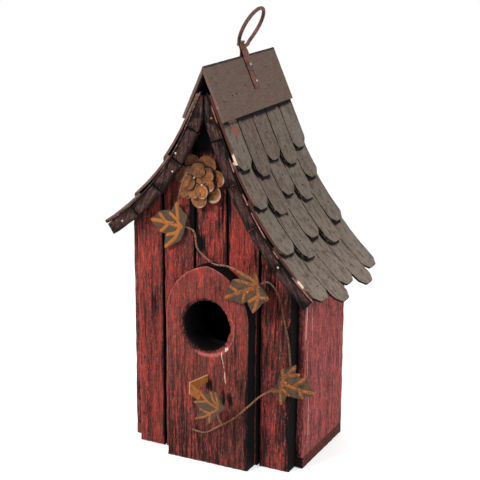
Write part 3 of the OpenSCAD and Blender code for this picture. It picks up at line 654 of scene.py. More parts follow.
def slat_paint(node):
    """Dark seams, overall darkening, patches of dirt and painted shade, and painted shade under
    the roof, beside the plaque, in the bore and on side faces; the first slat has a rubbed left
    edge.
    """
    low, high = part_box(node)
    grime_and_shade = SLAT_DARKENING.get(node, 0.0)

    def paint(co, normal, worn):
        if in_bore(co):
            return BLACK
        # Painted shade on the side and back faces, which lie in the gaps between boards
        if abs(normal.x) > 0.6 or normal.y > 0.5:
            return {"dark": 0.95, "worn": 0.0}
        right_seam = 0.62 * fade(high.x - co.x, 0.5 * MM, 3.6 * MM)
        dark = max(grime_and_shade, roof_shade(co), right_seam)
        if node == "front_slat_1":
            worn = max(worn, fade(co.x - low.x, 0.8 * MM, 2.2 * MM))
        else:
            left_seam = 0.4 * fade(co.x - low.x, 0.3 * MM, 1.8 * MM)
            dark = max(dark, left_seam)
        beside_plaque = co.x - PLAQUE_HIGH.x
        # Painted shadow of the plaque on the slat to its right
        if 0 < beside_plaque < PLAQUE_SHADE and co.z < PLAQUE_SHOULDER_Z:
            dark = max(dark, 0.9 * fade(beside_plaque, 1.5 * MM, PLAQUE_SHADE))
        dark = with_dark_patches(co, dark, SLAT_GRIME_AND_SHADE)
        return {"dark": dark, "worn": worn * (1 - dark)}

    return paint


# Overall darkening of the darker slats
SLAT_DARKENING = {"front_slat_1": 0.1, "front_slat_3": 0.22, "front_slat_5": 0.42}
# Dark patches on the slats, grime and painted shade round the flower, the upper leaves and the
# wire: x, z, half width, half height (metres) and strength
SLAT_GRIME_AND_SHADE = (
    (-0.030, 0.175, 0.006, 0.034, 0.9),
    (-0.0225, 0.150, 0.008, 0.034, 0.4),
    (-0.0440, 0.105, 0.005, 0.030, 0.7),
    (-0.0130, 0.170, 0.007, 0.030, 1.0),
    (-0.0060, 0.185, 0.006, 0.022, 0.7),
    (-0.0090, 0.154, 0.008, 0.014, 1.1),
    (0.0150, 0.186, 0.005, 0.020, 0.8),
    (0.0080, 0.180, 0.005, 0.030, 0.8),
    (0.0270, 0.165, 0.005, 0.026, 0.4),
    (0.0330, 0.150, 0.006, 0.020, 0.8),
    (0.0450, 0.150, 0.012, 0.022, 1.0),
    (0.0420, 0.090, 0.005, 0.050, 0.7),
    (0.0540, 0.095, 0.005, 0.060, 0.4),
    (0.0430, 0.047, 0.005, 0.030, 0.55),
    (0.0455, 0.134, 0.008, 0.012, 0.9),
    (-0.0013, 0.165, 0.005, 0.024, 0.5),
    (0.0480, 0.030, 0.006, 0.040, 0.4),
    (0.0550, 0.020, 0.004, 0.030, 0.7),
    (-0.0500, 0.030, 0.006, 0.050, 0.5),
)

# The crack that runs down from the bore, and the chip beside it as an upright oval
CRACK_LOW, CRACK_HIGH = 0.060, 0.087

CRACK_X = 0.0144
CHIP = (0.0092, 0.0795, 0.0022, 0.0028)


def plaque_paint(co, normal, worn):
    """Darker towards the foot and, low down, along the right edge; painted shade in the bore, on
    its left wall and on the side faces; a worn, chipped lip round the bore.
    """
    away = math.hypot(co.x - HOLE.x, co.z - HOLE.z) - HOLE_R
    depth = co.y - PLAQUE_Y
    inside_bore = away < 1.2 * MM and depth > 2.2 * MM
    side_face = away > 3 * MM and (normal.y > -0.5 or depth > 1.0 * MM)
    if inside_bore or side_face:
        return BLACK
    angle = math.degrees(math.atan2(co.z - HOLE.z, co.x - HOLE.x))

    def towards(middle, half, peak=1.0):
        """peak where the angle round the bore is middle, and 1 less at half a turn off it."""
        return clamp(peak - abs(angle - middle) / half)

    if co.x > PLAQUE_X + 12 * MM:
        worn *= 0.3
    dark = 0.12 + 0.4 * fade(co.z, 0.02, 0.1)
    dark = max(dark, 0.7 * fade(PLAQUE_HIGH.x - co.x, 1 * MM, 8 * MM) * fade(co.z, 0.06, 0.14))
    pale = 0.0
    rim = fade(away, 1.2 * MM, 3.2 * MM)
    if rim > 0:
        left = clamp(1.6 * math.cos(math.radians(angle - 165)) + 0.75)
        foot = towards(-85, 40, 1.6)
        lip = fade(abs(away - 1.2 * MM), 0.5 * MM, 1.4 * MM)
        worn = max(worn * 0.2, lip * max(foot, 0.7 * towards(-10, 40, 1.8)))
        pale = lip * towards(-43, 9, 1.15)
        inner = fade(away, 0.2 * MM, 1.2 * MM)
        rough = 0.5 + 0.5 * wander(co.x * 500, 7, co.z * 120)
        # Painted shade: the bore's left wall darkens, and so does the bore deeper in; its foot is
        # darker too
        dark = max(dark * (1 - rim), (0.36 + 0.3 * rough) * left * rim, 0.5 * foot * inner)
        if depth > 1.2 * MM:
            dark = max(dark, 0.62)
    scuff = clamp(1 - abs(away - 3.2 * MM) / (2.4 * MM)) * towards(8, 34)
    worn = max(worn, 0.6 * scuff)
    if CRACK_LOW < co.z < CRACK_HIGH:
        line = CRACK_X + (0.083 - co.z) * 0.14
        off_line = abs(co.x - line - 0.6 * MM * wander(0, 0, co.z * 180))
        broken = 0.5 + 0.5 * wander(3, 0, co.z * 420)
        pale = max(pale, (0.35 + 0.75 * broken) * fade(off_line, 0.15 * MM, 0.85 * MM))
        pale = max(pale, 0.9 * spot(co, *CHIP))
    return {"dark": with_dark_patches(co, dark, PLAQUE_GRIME_AND_SHADE), "worn": worn, "pale": pale}


# The same on the plaque; the last two are the painted shadow of the perch
PLAQUE_GRIME_AND_SHADE = (
    (-0.0190, 0.068, 0.006, 0.034, 0.5),
    (-0.0240, 0.030, 0.005, 0.045, 0.45),
    (-0.0120, 0.020, 0.005, 0.034, 0.45),
    (0.0240, 0.085, 0.006, 0.030, 0.55),
    (0.0280, 0.060, 0.006, 0.040, 0.65),
    (0.0215, 0.050, 0.005, 0.014, 0.8),
    (0.0300, 0.018, 0.006, 0.036, 0.6),
    (0.0110, 0.030, 0.007, 0.034, 0.5),
    (0.0000, 0.016, 0.008, 0.026, 0.5),
    (-0.0100, 0.128, 0.004, 0.014, 0.4),
    (0.0130, 0.128, 0.004, 0.016, 0.45),
    (0.0020, 0.134, 0.003, 0.012, 0.4),
    (0.0045, 0.059, 0.0065, 0.0065, 1.0),
    (0.0180, 0.0515, 0.0060, 0.0100, 0.9),
)


def side_paint(co, normal, worn):
    """Streaks down the boards, paler near the front, a grimy front edge, and painted shade on the
    inner face, on the front edge beside the slats and under the roof.
    """
    side = 1 if co.x > 0 else -1
    inward = normal.x * side < -0.5
    front = normal.y < -0.5
    dark = 1.0 if inward else 0.36 if front else 0.04
    if front:
        dark = max(dark, 0.95 * fade(co.x * side, INNER_W + 0.1 * MM, INNER_W + 2.1 * MM))
    else:
        drift = wander(8, co.y * 210, co.z * 11)
        dark += 0.32 * clamp(drift * 1.6) * fade(co.z, 0.04, 0.15)
        worn = max(worn, 0.9 * clamp(-drift * 1.7 - 0.1))
    dark = max(dark, 0.85 * fade(below_roof(co), 1 * MM, 8 * MM))
    streak = wander(3, co.y * 520, co.z * 14)
    near_front = fade(co.y, PANEL_Y + 4 * MM, PANEL_Y + 34 * MM)
    pale = clamp((streak - 0.10) * 2.2) * (0.3 + 0.45 * near_front)
    return {"dark": dark, "worn": worn * (1 - dark) * 0.6, "pale": 0.0 if front else pale}


def back_paint(co, normal, worn):
    # Painted shade on the inner face and the edges, and on the back under the roof
    dark = 1.0 if normal.y < 0.3 else 0.5 * fade(below_roof(co), 3 * MM, 20 * MM)
    return {"dark": dark, "worn": worn * (1 - dark)}


def floor_paint(co, normal, worn):
    # Painted shade on the top inside the box and on the front face, apart from its left end
    if normal.z > 0.5 and abs(co.x) < HALF_W - 4 * MM:
        return BLACK
    if co.x < 0 and (normal.y < -0.5 or normal.x < -0.5):
        return {"dark": 0.1, "worn": worn}
    return {"dark": 0.72 if normal.y < -0.5 else 0.32, "worn": 0.7 * worn}


def panel_paint(_co, _normal, _worn):
    # Painted shade all over: the panel lies inside the box
    return {"dark": 0.7, "worn": 0.0}


# Heights where the shingles are painted wholly paler, and where not at all: painted light on the
# lower, flatter courses
PAINTED_LIGHT_Z = (0.130, 0.192)


def shingle_paint(edge_above):
    """edge_above gives how far a point is from the tips that overhang this course. Painted shade
    lies under those tips and on faces that turn from the sky.
    """
    def paint(co, normal, worn):
        dark = clamp((0.5 - normal.z) / 0.3) if normal.z > 0 else 1.0
        pale = stain = 0.0
        if co.y < ROOF_Y + 0.9 * MM:
            dark = 0.5 if co.x < 0 else 0.75
            worn = 0.2
            stain = 0.45
            for x, z, reach in FRONT_CHIPS:
                pale = max(pale, fade(math.hypot(co.x - x, co.z - z), 0.4 * reach, reach))
        elif normal.z > 0:
            # Painted shadow under the tips of the course above
            dark = max(dark, fade(edge_above(co), 1.1 * MM, 3.1 * MM))
        for x, y, z, reach, strength in SHINGLE_STAINS:
            away = (co - Vector((x, y, z))).length
            stain = max(stain, strength * fade(away, 0.2 * reach, reach))
        return {"dark": dark * (1 - pale), "worn": 0.55 * worn if normal.z > 0.25 else 0.0,
                "pale": pale, "stain": stain, "bleach": fade(co.z, *PAINTED_LIGHT_Z)}

    return paint


# How much shorter the rearmost shingle of a course is than its CAD solid
REAR_TRIM = {"shingle_course_right_2": 4.3 * MM, "shingle_course_right_3": 2.6 * MM}


def rear_trim(node):
    """A function that gives the move of a point as the course's rear shingle is cut shorter."""
    short = REAR_TRIM.get(node, 0.0)
    islands = node_islands(node)
    points = [v.co.copy() for v in islands[-1].verts]
    for bm in islands:
        bm.free()
    side = min(p.y for p in points) - 0.05 * MM
    head = max(points, key=lambda p: p.z)
    tail = min(points, key=lambda p: p.z)
    rise = Vector((head.x - tail.x, 0, head.z - tail.z)).normalized()

    def move(co):
        if short == 0 or co.y < side:
            return Vector((0, 0, 0))
        return short * clamp((head.z - co.z) / (head.z - tail.z)) * rise

    return move


def overhang(side, k):
    """Distance to the edges of the course, or of the ridge cap, that laps over course k."""
    node = f"shingle_course_{side}_{k - 1}" if k > 1 else f"ridge_cap_{side}"
    move = rear_trim(node)
    points = []
    for bm in node_islands(node):
        points += edge_points(sharp_edges(bm), MM)
        bm.free()
    return nearest([point + move(point) + SHADE_SHIFT for point in points])


# How far the dark under a shingle's edge lies towards the front and the eaves
SHADE_SHIFT = mm(0, -0.7, -0.5)
# Cream chips on the front edges of the right shingles: x, z and reach, in metres
FRONT_CHIPS = ((0.0245, 0.2190, 0.0065), (0.0700, 0.1400, 0.0050))
# Red worn patches on the right slope: point, reach (metres) and strength
SHINGLE_STAINS = (
    (0.0164, -0.0412, 0.2345, 0.0066, 0.95),
    (0.0220, -0.0440, 0.2180, 0.0040, 0.6),
    (0.0560, 0.0200, 0.1650, 0.0050, 0.8),
)


def cap_paint(co, normal, worn):
    """Pinkish front ends, a dark ridge line, painted shade on faces that turn from the sky, and
    red stain low on the sides.
    """
    if co.y < ROOF_Y + 0.6 * MM:
        line = wander(co.x * 60, 5, co.z * 60)
        return {"dark": 0.2, "worn": 0.7, "pale": 0.36 + 0.45 * line, "stain": 0.12}
    dark = 0.0 if normal.z > 0.2 else 0.75
    if abs(co.x - RIDGE.x) < 0.7 * MM:
        dark = 0.7
    low_edge = fade(co.z, RIDGE.z - 0.030, RIDGE.z - 0.016)
    patch = wander(2, co.y * 70, co.z * 160)
    return {"dark": dark, "worn": worn * 0.6, "stain": 0.6 * clamp(low_edge * 1.3 * patch)}


def barge_paint(node):
    """Pink wear along the lower edge, strongest on the left, and dark joints."""
    reach = max(below_roof(v.co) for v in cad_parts[node].data.vertices)

    def paint(co, normal, worn):
        left = co.x < RIDGE.x
        if normal.y > -0.5:
            return {"dark": 0.55 if normal.z < 0 else 0.8, "worn": 0.7 * worn if left else 0.2}
        stray = 0.5 + 0.7 * wander(co.x * 110, 2, co.z * 110)
        low_edge = fade(reach - below_roof(co), 0.6 * MM, 3.0 * MM) * clamp(stray)
        return {"dark": max(0.1, 0.75 * worn * (1 - low_edge)),
                "worn": (1.2 if left else 0.5) * low_edge}

    return paint


def deck_paint(co, _normal, _worn):
    # Painted shade on all but the front edge, the underside among them
    if co.y >= ROOF_Y + 0.4 * MM:
        return {"dark": 0.8, "worn": 0.0}
    if co.x < RIDGE.x:
        return {"dark": 0.45, "worn": 0.5}
    gap = wander(co.x * 90, 0, co.z * 90)
    return {"dark": 0.95 if gap < -0.02 else 0.25, "worn": 0.8}


def cover_paint(_co, normal, worn):
    return {"dark": 0.8 if normal.y < -0.5 else 0.0, "worn": worn}


# ---- Wooden pieces -----------------------------------------------------------------------

LAST_SLAT_STRETCH = 2.4 * MM
# How far the bore is drawn in all round, and how much more towards its lower right
BORE_DRAW, BORE_BEVEL = 0.6 * MM, 2.2 * MM
BEVEL_WAY = math.radians(-25)


def fall_line(bm):
    """Unit vector down the slope of a roof piece, in the plane across the house."""
    high = max(bm.verts, key=lambda v: v.co.z).co
    low = min(bm.verts, key=lambda v: v.co.z).co
    return Vector((low.x - high.x, 0, low.z - high.z)).normalized()


def widened_slat(co):
    """Draws the right edge of the last slat out, to leave a narrow gap beside the wall."""
    return RIGHTWARDS * LAST_SLAT_STRETCH * fade(-co.x, -0.0575, -0.0555)


def rounded_bore(co):
    """Draws the plaque's bore in at its right and foot, which leaves a broad worn bevel."""
    out = Vector((co.x - HOLE.x, 0, co.z - HOLE.z))
    if out.length > HOLE_R + 0.8 * MM:
        return Vector((0, 0, 0))
    facing = math.cos(math.atan2(out.z, out.x) - BEVEL_WAY)
    return -out.normalized() * (BORE_DRAW + BORE_BEVEL * clamp(facing))


def build_box():
    for i in range(1, 6):
        node = f"front_slat_{i}"
        wooden_node(node, f"slat_board_{i}", FRONT_RED, UP, RIGHTWARDS, 40 + i,
                    slat_paint(node), groove=0.3 * MM, chew=0.8 * MM, bevel=0.6 * MM,
                    shape=widened_slat if i == 5 else None)
    wooden_node("entrance_plaque", "arched_plaque", PLAQUE_RED, UP, RIGHTWARDS, 60,
                plaque_paint, groove=0.3 * MM, chew=0.7 * MM, bevel=0.7 * MM, coarse=4 * MM,
                shape=rounded_bore)
    for side, seed in (("right", 71), ("left", 72)):
        wooden_node(f"{side}_side_wall", f"{side}_wall_board", SIDE_RED, UP,
                    BACKWARDS, seed, side_paint, groove=0.2 * MM, fine=1.0 * MM)
    wooden_node("back_wall", "back_board", FRONT_RED, UP, RIGHTWARDS, 73,
                back_paint, groove=0.2 * MM, fine=1.2 * MM)
    wooden_node("front_panel", "inner_front_board", INTERIOR_SHADE_WOOD, UP, RIGHTWARDS, 74,
                panel_paint, groove=0.1 * MM, fine=2.5 * MM)
    wooden_node("floor_board", "floor_plank", FLOOR_RED, RIGHTWARDS, BACKWARDS, 75,
                floor_paint, groove=0.2 * MM, fine=1.2 * MM)
    wooden_node("cleanout_cover", "cover_paddle", FRONT_RED, UP, RIGHTWARDS, 76,
                cover_paint, groove=0.15 * MM, fine=1.0 * MM, coarse=4 * MM, body=COVER)


# The shingle courses, which are numbered from the ridge down
COURSES = [("left", k) for k in (1, 2, 3)] + [("right", k) for k in (1, 2, 3, 4)]


def build_roof():
    for side in ("left", "right"):
        wooden_node(f"roof_deck_{side}", f"deck_sheet_{side}", DECK_WOOD,
                    fall_line, BACKWARDS, 81, deck_paint, bevel=0.15 * MM, groove=0.05 * MM,
                    fine=2.5 * MM, coarse=5 * MM, chew=0.15 * MM)
        wooden_node(f"ridge_cap_{side}", f"cap_board_{side}", CAP_BROWN,
                    BACKWARDS, fall_line, 83, cap_paint, bevel=0.35 * MM, groove=0.08 * MM,
                    fine=1.0 * MM, coarse=5 * MM, chew=0.3 * MM)
        for i in range(1, 6):
            wooden_node(f"bargeboard_{side}_{i}", f"barge_{side}_{i}", BARGE_BROWN,
                        fall_line, BACKWARDS, 90 + i,
                        barge_paint(f"bargeboard_{side}_{i}"),
                        bevel=0.5 * MM, groove=0.15 * MM, fine=0.9 * MM, coarse=2.5 * MM,
                        chew=0.7 * MM)
    for side, k in COURSES:
        wooden_node(f"shingle_course_{side}_{k}", f"shingles_{side}_{k}", SHINGLE_GREY,
                    fall_line, BACKWARDS, 100 * k + (7 if side == "left" else 3),
                    shingle_paint(overhang(side, k)), bevel=0.28 * MM, groove=0.06 * MM,
                    fine=1.1 * MM, coarse=4 * MM, chew=0.25 * MM,
                    shape=rear_trim(f"shingle_course_{side}_{k}"))


build_box()
build_roof()


# ---- Round heads and sweeps --------------------------------------------------------------

# Cut across the ring of a nail's head: share of the radius and of the height
NAIL_DOME = ((0.45, 0.94), (0.75, 0.72), (0.93, 0.38), (1.0, 0.1), (0.96, 0.0))


def frame_for(normal):
    """Rotation whose Z axis is the normal."""
    return normal.to_track_quat("Z", "Y").to_matrix().to_4x4()


def ring(bm, sides, place):
    """Vertices all round; place(cosine, sine) gives the point at each angle."""
    angles = [2 * math.pi * k / sides for k in range(sides)]
    return [bm.verts.new(place(math.cos(a), math.sin(a))) for a in angles]


def band(bm, first, second):
    """Faces between two rings."""
    for k in range(len(first)):
        n = (k + 1) % len(first)
        bm.faces.new([first[k], first[n], second[n], second[k]])


def cone(bm, tip, rim):
    """Faces from a ring to one vertex."""
    for k in range(len(rim)):
        bm.faces.new([tip, rim[k], rim[(k + 1) % len(rim)]])


def nail_head(bm, at, normal, radius, height):
    """A low dome with a rounded rim, standing on at and facing along normal."""
    turn = Matrix.Translation(at) @ frame_for(normal)
    rings = [
        ring(bm, 16, lambda c, s: turn @ Vector(
            (radius * share * c, radius * share * s, height * rise)))
        for share, rise in NAIL_DOME]
    cone(bm, bm.verts.new(turn @ Vector((0, 0, height))), rings[0])
    for inner, outer in zip(rings, rings[1:]):
        band(bm, inner, outer)
    bm.faces.new(rings[-1][::-1])


def shank(bm, start, end, radius):
    """A closed round bar from start to end."""
    turn = frame_for(end - start)
    ends = [
        ring(bm, 12, lambda c, s: Matrix.Translation(point) @ turn @ Vector(
            (radius * c, radius * s, 0)))
        for point in (start, end)]
    band(bm, *ends)
    bm.faces.new(ends[0][::-1])
    bm.faces.new(ends[1])


def steel_piece(name, bm, material, nodes, seed, masks=None):
    """Makes a bmesh a steel piece; its grain coordinates are its places plus a shift."""
    bmesh.ops.recalc_face_normals(bm, faces=bm.faces)
    shift = random_shift(random.Random(seed), 200)
    grain = [v.co * 1000 + shift for v in bm.verts]
    piece(name, into_mesh(bm, grain, masks or {}, STEEL_SMOOTH), material, nodes)


def catmull(points, steps):
    """A smooth curve through the points, with the given steps from one to the next."""
    out = []
    last = len(points) - 1
    for i in range(last):
        a, b = points[max(i - 1, 0)], points[i]
        c, d = points[i + 1], points[min(i + 2, last)]
        for j in range(steps):
            t = j / steps
            out.append(0.5 * (
                2 * b + (c - a) * t + (2 * a - 5 * b + 4 * c - d) * t * t
                + (3 * b - a - 3 * c + d) * t * t * t))
    out.append(points[last].copy())
    return out


def tube(bm, centres, sizes, sides, flat=None):
    """A closed tube along centres. sizes gives its half width and half thickness at each.

    The width lies along flat; without it, the section turns as little as it can.
    """
    rings = []
    last = len(centres) - 1
    guide = None
    for i, (centre, (wide, thick)) in enumerate(zip(centres, sizes)):
        way = (centres[min(i + 1, last)] - centres[max(i - 1, 0)]).normalized()
        if flat is not None:
            guide = flat
        elif guide is None:
            guide = UP if abs(way.z) < 0.9 else RIGHTWARDS
        side = way.cross(guide).normalized()
        guide = side.cross(way).normalized()
        rings.append(ring(
            bm, sides, lambda c, s: centre + guide * wide * c + side * thick * s))
    for first, second in zip(rings, rings[1:]):
        band(bm, first, second)
    bm.faces.new(rings[0][::-1])
    bm.faces.new(rings[-1])


# ---- Tin leaves --------------------------------------------------------------------------


def polar(angle, reach):
    return Vector((reach * math.cos(math.radians(angle)), reach * math.sin(math.radians(angle))))


def bulged(points, amount):
    """The outline with each side as a shallow outward curve of five pieces."""
    out = []
    for start, end in zip(points, points[1:] + points[:1]):
        side = end - start
        normal = Vector((side.y, -side.x))
        for j in range(5):
            t = j / 5
            out.append(start + side * t + normal * amount * 4 * t * (1 - t))
    return out


def segment_distance(p, a, b):
    side = b - a
    share = clamp((p - a).dot(side) / max(side.length_squared, 1e-9))
    return (p - a - side * share).length


def tin_sheet(outline, relief, thickness, cell):
    """A thin plate with the outline (millimetres, in X and Z), lying near y = 0.

    relief(point) gives its lift towards the front in millimetres, and its masks. The back
    follows the front a little less. Returns a bmesh and its masks.
    """
    bm = bmesh.new()
    face = bm.faces.new([bm.verts.new((p.x, 0, p.y)) for p in outline])
    face.normal_update()
    if face.normal.y > 0:
        face.normal_flip()
    for axis in (RIGHTWARDS, UP):
        slice_along(bm, axis, cell)
    bm.verts.index_update()
    plate = bmesh.new()
    reliefs = [relief(Vector((v.co.x, v.co.z))) for v in bm.verts]
    fronts = [
        plate.verts.new((v.co.x, -lift - thickness, v.co.z))
        for v, (lift, _) in zip(bm.verts, reliefs)]
    backs = [
        plate.verts.new((v.co.x, -0.8 * lift, v.co.z))
        for v, (lift, _) in zip(bm.verts, reliefs)]
    for face in bm.faces:
        plate.faces.new([fronts[v.index] for v in face.verts])
        plate.faces.new([backs[v.index] for v in reversed(face.verts)])
    for edge in bm.edges:
        if edge.is_boundary:
            loop = edge.link_loops[0]
            a, b = loop.vert.index, loop.link_loop_next.vert.index
            plate.faces.new([fronts[b], fronts[a], backs[a], backs[b]])
    bm.free()
    masks = {
        key: [found.get(key, 0.0) for _, found in reliefs] * 2
        for key in ("vein", "worn", "dark")}
    return plate, masks


def tin_piece(name, plate, masks, place, material, nodes, seed):
    """Scales a plate from millimetres, puts it in place and makes it a piece."""
    shift = random_shift(random.Random(seed), 200)
    grain = [v.co + shift for v in plate.verts]
    for vert in plate.verts:
        vert.co = place @ (vert.co * MM)
    bmesh.ops.recalc_face_normals(plate, faces=plate.faces)
    piece(name, into_mesh(plate, grain, masks, TIN_SMOOTH), material, nodes)


def leaf_relief(rim, veins, vein_height, curl, seed, vein_width=1.0):
    """Raised veins with puffed fields between them, and a rim that curls forwards."""
    reach = max(r for _, r in rim)
    rng = random.Random(seed)
    shift = Vector((rng.uniform(0, 50), rng.uniform(0, 50), 0))
    segments = []
    for i, line in enumerate(veins):
        width = vein_width * (0.95 if i == 0 else 0.8)
        for a, b in zip(line, line[1:]):
            segments.append((Vector(a), Vector(b), width))

    def relief(p):
        near = math.inf
        vein = tint = 0.0
        for a, b, width in segments:
            distance = segment_distance(p, a, b)
            near = min(near, distance)
            vein = max(vein, math.exp(-(distance / width) ** 2))
            tint = max(tint, math.exp(-(distance / (1.55 * width)) ** 2))
        out = p.length / reach
        ripple = noise.noise(Vector((p.x / 6, p.y / 6, 0)) + shift)
        grit = noise.noise(Vector((p.x / 1.1, p.y / 1.1, 4)) + shift)
        puff = 0.22 * clamp(near / 2.6)
        lift = vein_height * vein + puff + curl * out * out * (0.5 + 0.6 * ripple)
        lift += 0.15 * ripple + 0.05 * grit
        beside_vein = 0.6 * math.exp(-((near - 2.0) / 0.55) ** 2)
        rim_tint = 0.5 * clamp((out - 0.62) * 2.0) * (0.6 + ripple)
        return max(0.0, lift), {
            "vein": max(0.9 * tint, rim_tint), "dark": beside_vein,
            "worn": clamp((out - 0.74) * 1.8)}

    return relief


def build_leaf(name, node, centre, rim, veins, tone, seed):
    """One leaf; tone below 0 makes its rust lighter, and above 0 darker."""
    outline = bulged([polar(*corner) for corner in rim], 0.05)
    plate, masks = tin_sheet(outline, leaf_relief(rim, veins, 0.5, 0.5, seed), 0.45, 0.5)
    masks["board"] = [tone] * len(masks["vein"])
    tin_piece(name, plate, masks, Matrix.Translation(centre), LEAF_TIN, (node,), seed)


# How far the backs of the leaves and the flower stand off the boards
TIN_GAP = 2.2 * MM
# Where the veins of each leaf meet; its rim as (direction, distance in mm) corners round that
# point, turning from +X towards +Z; and its veins as chains of (x, z) points in mm
LEAF_1 = Vector((-0.0215, SLAT_Y - TIN_GAP, 0.167))
LEAF_2 = Vector((PLAQUE_X + 0.0383, PLAQUE_Y - TIN_GAP, 0.1367))
LEAF_3 = Vector((0.055, SLAT_Y - TIN_GAP, 0.0645))
RIM_1 = (
    (0, 3), (60, 9), (82, 10), (102, 16.5), (128, 12), (157, 19.5), (166, 20), (176, 24),
    (190, 19.5), (202, 17.5), (212, 13.5), (234, 22), (250, 14), (266, 11))
RIM_2 = (
    (20, 2.5), (97, 10), (118, 6.5), (150, 17), (166, 12), (174, 17.5), (186, 19.5), (207, 26),
    (222, 20), (233, 17.5), (241, 13.5), (263, 19.5), (290, 12.5), (319, 12.5))
RIM_3 = (
    (12, 20.5), (26, 19.7), (32, 15), (39, 17.5), (47, 14.5), (58, 19.7), (76, 12.5),
    (88, 12.5), (150, 3), (222, 9.5), (248, 9), (271, 14), (305, 7.5), (338, 17.5),
    (347, 19.5), (358, 25.5))
PERCH_RIM = (
    (50, 6.5), (92, 12.5), (100, 12), (108, 13), (122, 11.5), (136, 16), (155, 12),
    (172, 17.5), (184, 12.5), (190, 13.2), (201, 11.5), (212, 19.5), (223, 11), (246, 13),
    (262, 4), (377, 7.5))
VEINS_1 = (
    ((0, -1), (-5, -0.4), (-11, 0.8), (-18, 1.2), (-23.4, 1.4)),
    ((-12.8, 1.7), (-16.2, 6)),
    ((-9.9, -0.1), (-15.6, -6)),
    ((-0.8, -0.3), (-3.6, 3.7), (-8.4, 7.4)),
    ((-2.4, 4.7), (-2.9, 8.5), (-3.6, 15)),
    ((-1, -2.1), (-4.2, -5.9), (-11.4, -8.2)),
    ((-1.8, -3.7), (-4.7, -9.5), (-12, -16.4)))
VEINS_2 = (
    ((0.6, -0.9), (-1.2, -1.4), (-12, -6.3), (-17.8, -9.3), (-22.6, -11.5)),
    ((0.5, 0.7), (-1.2, 2.9), (-14, 8)),
    ((-0.3, -0.2), (-5.5, 0.4), (-15.5, 1.9)),
    ((-12.4, -6.8), (-19, -3)),
    ((-8.5, -5.3), (-9.8, -13)),
    ((1, -0.8), (1.2, -3.2), (1.6, -8.2), (-2, -18.6)),
    ((0.8, -7.4), (-5, -11.5)),
    ((1.6, -8), (8.4, -7.6)),
    ((0.5, 0.7), (-1, 9)))
VEINS_3 = (
    ((-0.5, -0.3), (2.7, 1.5), (9.8, 0), (13.7, -1), (24.6, -1.1)),
    ((9.7, 1.5), (16.8, 7.9)),
    ((12.5, -0.3), (15.5, -6.2)),
    ((-0.5, 0.1), (2.6, 7), (6.2, 10.8), (10.1, 15.7)),
    ((4.8, 7.9), (13, 10.3)),
    ((1.6, 5), (0.5, 11.6)),
    ((-0.6, -1.7), (5.5, -6)),
    ((-0.9, -1.8), (-0.2, -13.2)),
    ((-0.8, -3.6), (-6.4, -5.6)))
PERCH_VEINS = (
    ((1.4, 1.2), (-1.7, 2.3), (-6.2, 4.3), (-10.3, 8.3), (-12.6, 11.8)),
    ((-7, 4.6), (-16, 2.4)),
    ((0.6, 2.7), (-2.7, 7.4), (-3.8, 11.8)),
    ((1.6, 2.9), (-0.2, 11.8)),
    ((1.1, 0.2), (-4.2, -3.6), (-6.2, -3.7), (-11.8, -2)),
    ((-4.6, -4.1), (-5.2, -10.6)),
    ((-5.2, -3.8), (-8.3, -6.8), (-15.7, -9.8)))

build_leaf("pressed_leaf_1", "ivy_leaf_1", LEAF_1, RIM_1, VEINS_1, -0.5, 201)
build_leaf("pressed_leaf_2", "ivy_leaf_2", LEAF_2, RIM_2, VEINS_2, 0.3, 202)
build_leaf("pressed_leaf_3", "ivy_leaf_3", LEAF_3, RIM_3, VEINS_3, 0.4, 203)


# ---- Perch -------------------------------------------------------------------------------

# Where the strip leaves the plaque, where it folds, and the middle of the leaf
PERCH_ROOT = Vector((PLAQUE_X, PLAQUE_Y, 0)) + mm(0.5, 0, 64)
PERCH_FOLD = PERCH_ROOT + mm(-4.5, -17.5, -2)
PERCH_LEAF = PERCH_FOLD + mm(20.3, 0, -11.6)

# In millimetres: half the width of the strip where it folds, and the far corners of the arm,
# from the middle of the leaf
PERCH_HALF_W = 4.3
PERCH_ARM_TIPS = (Vector((-13.2, 4.2)), Vector((-10.4, 9.6)))


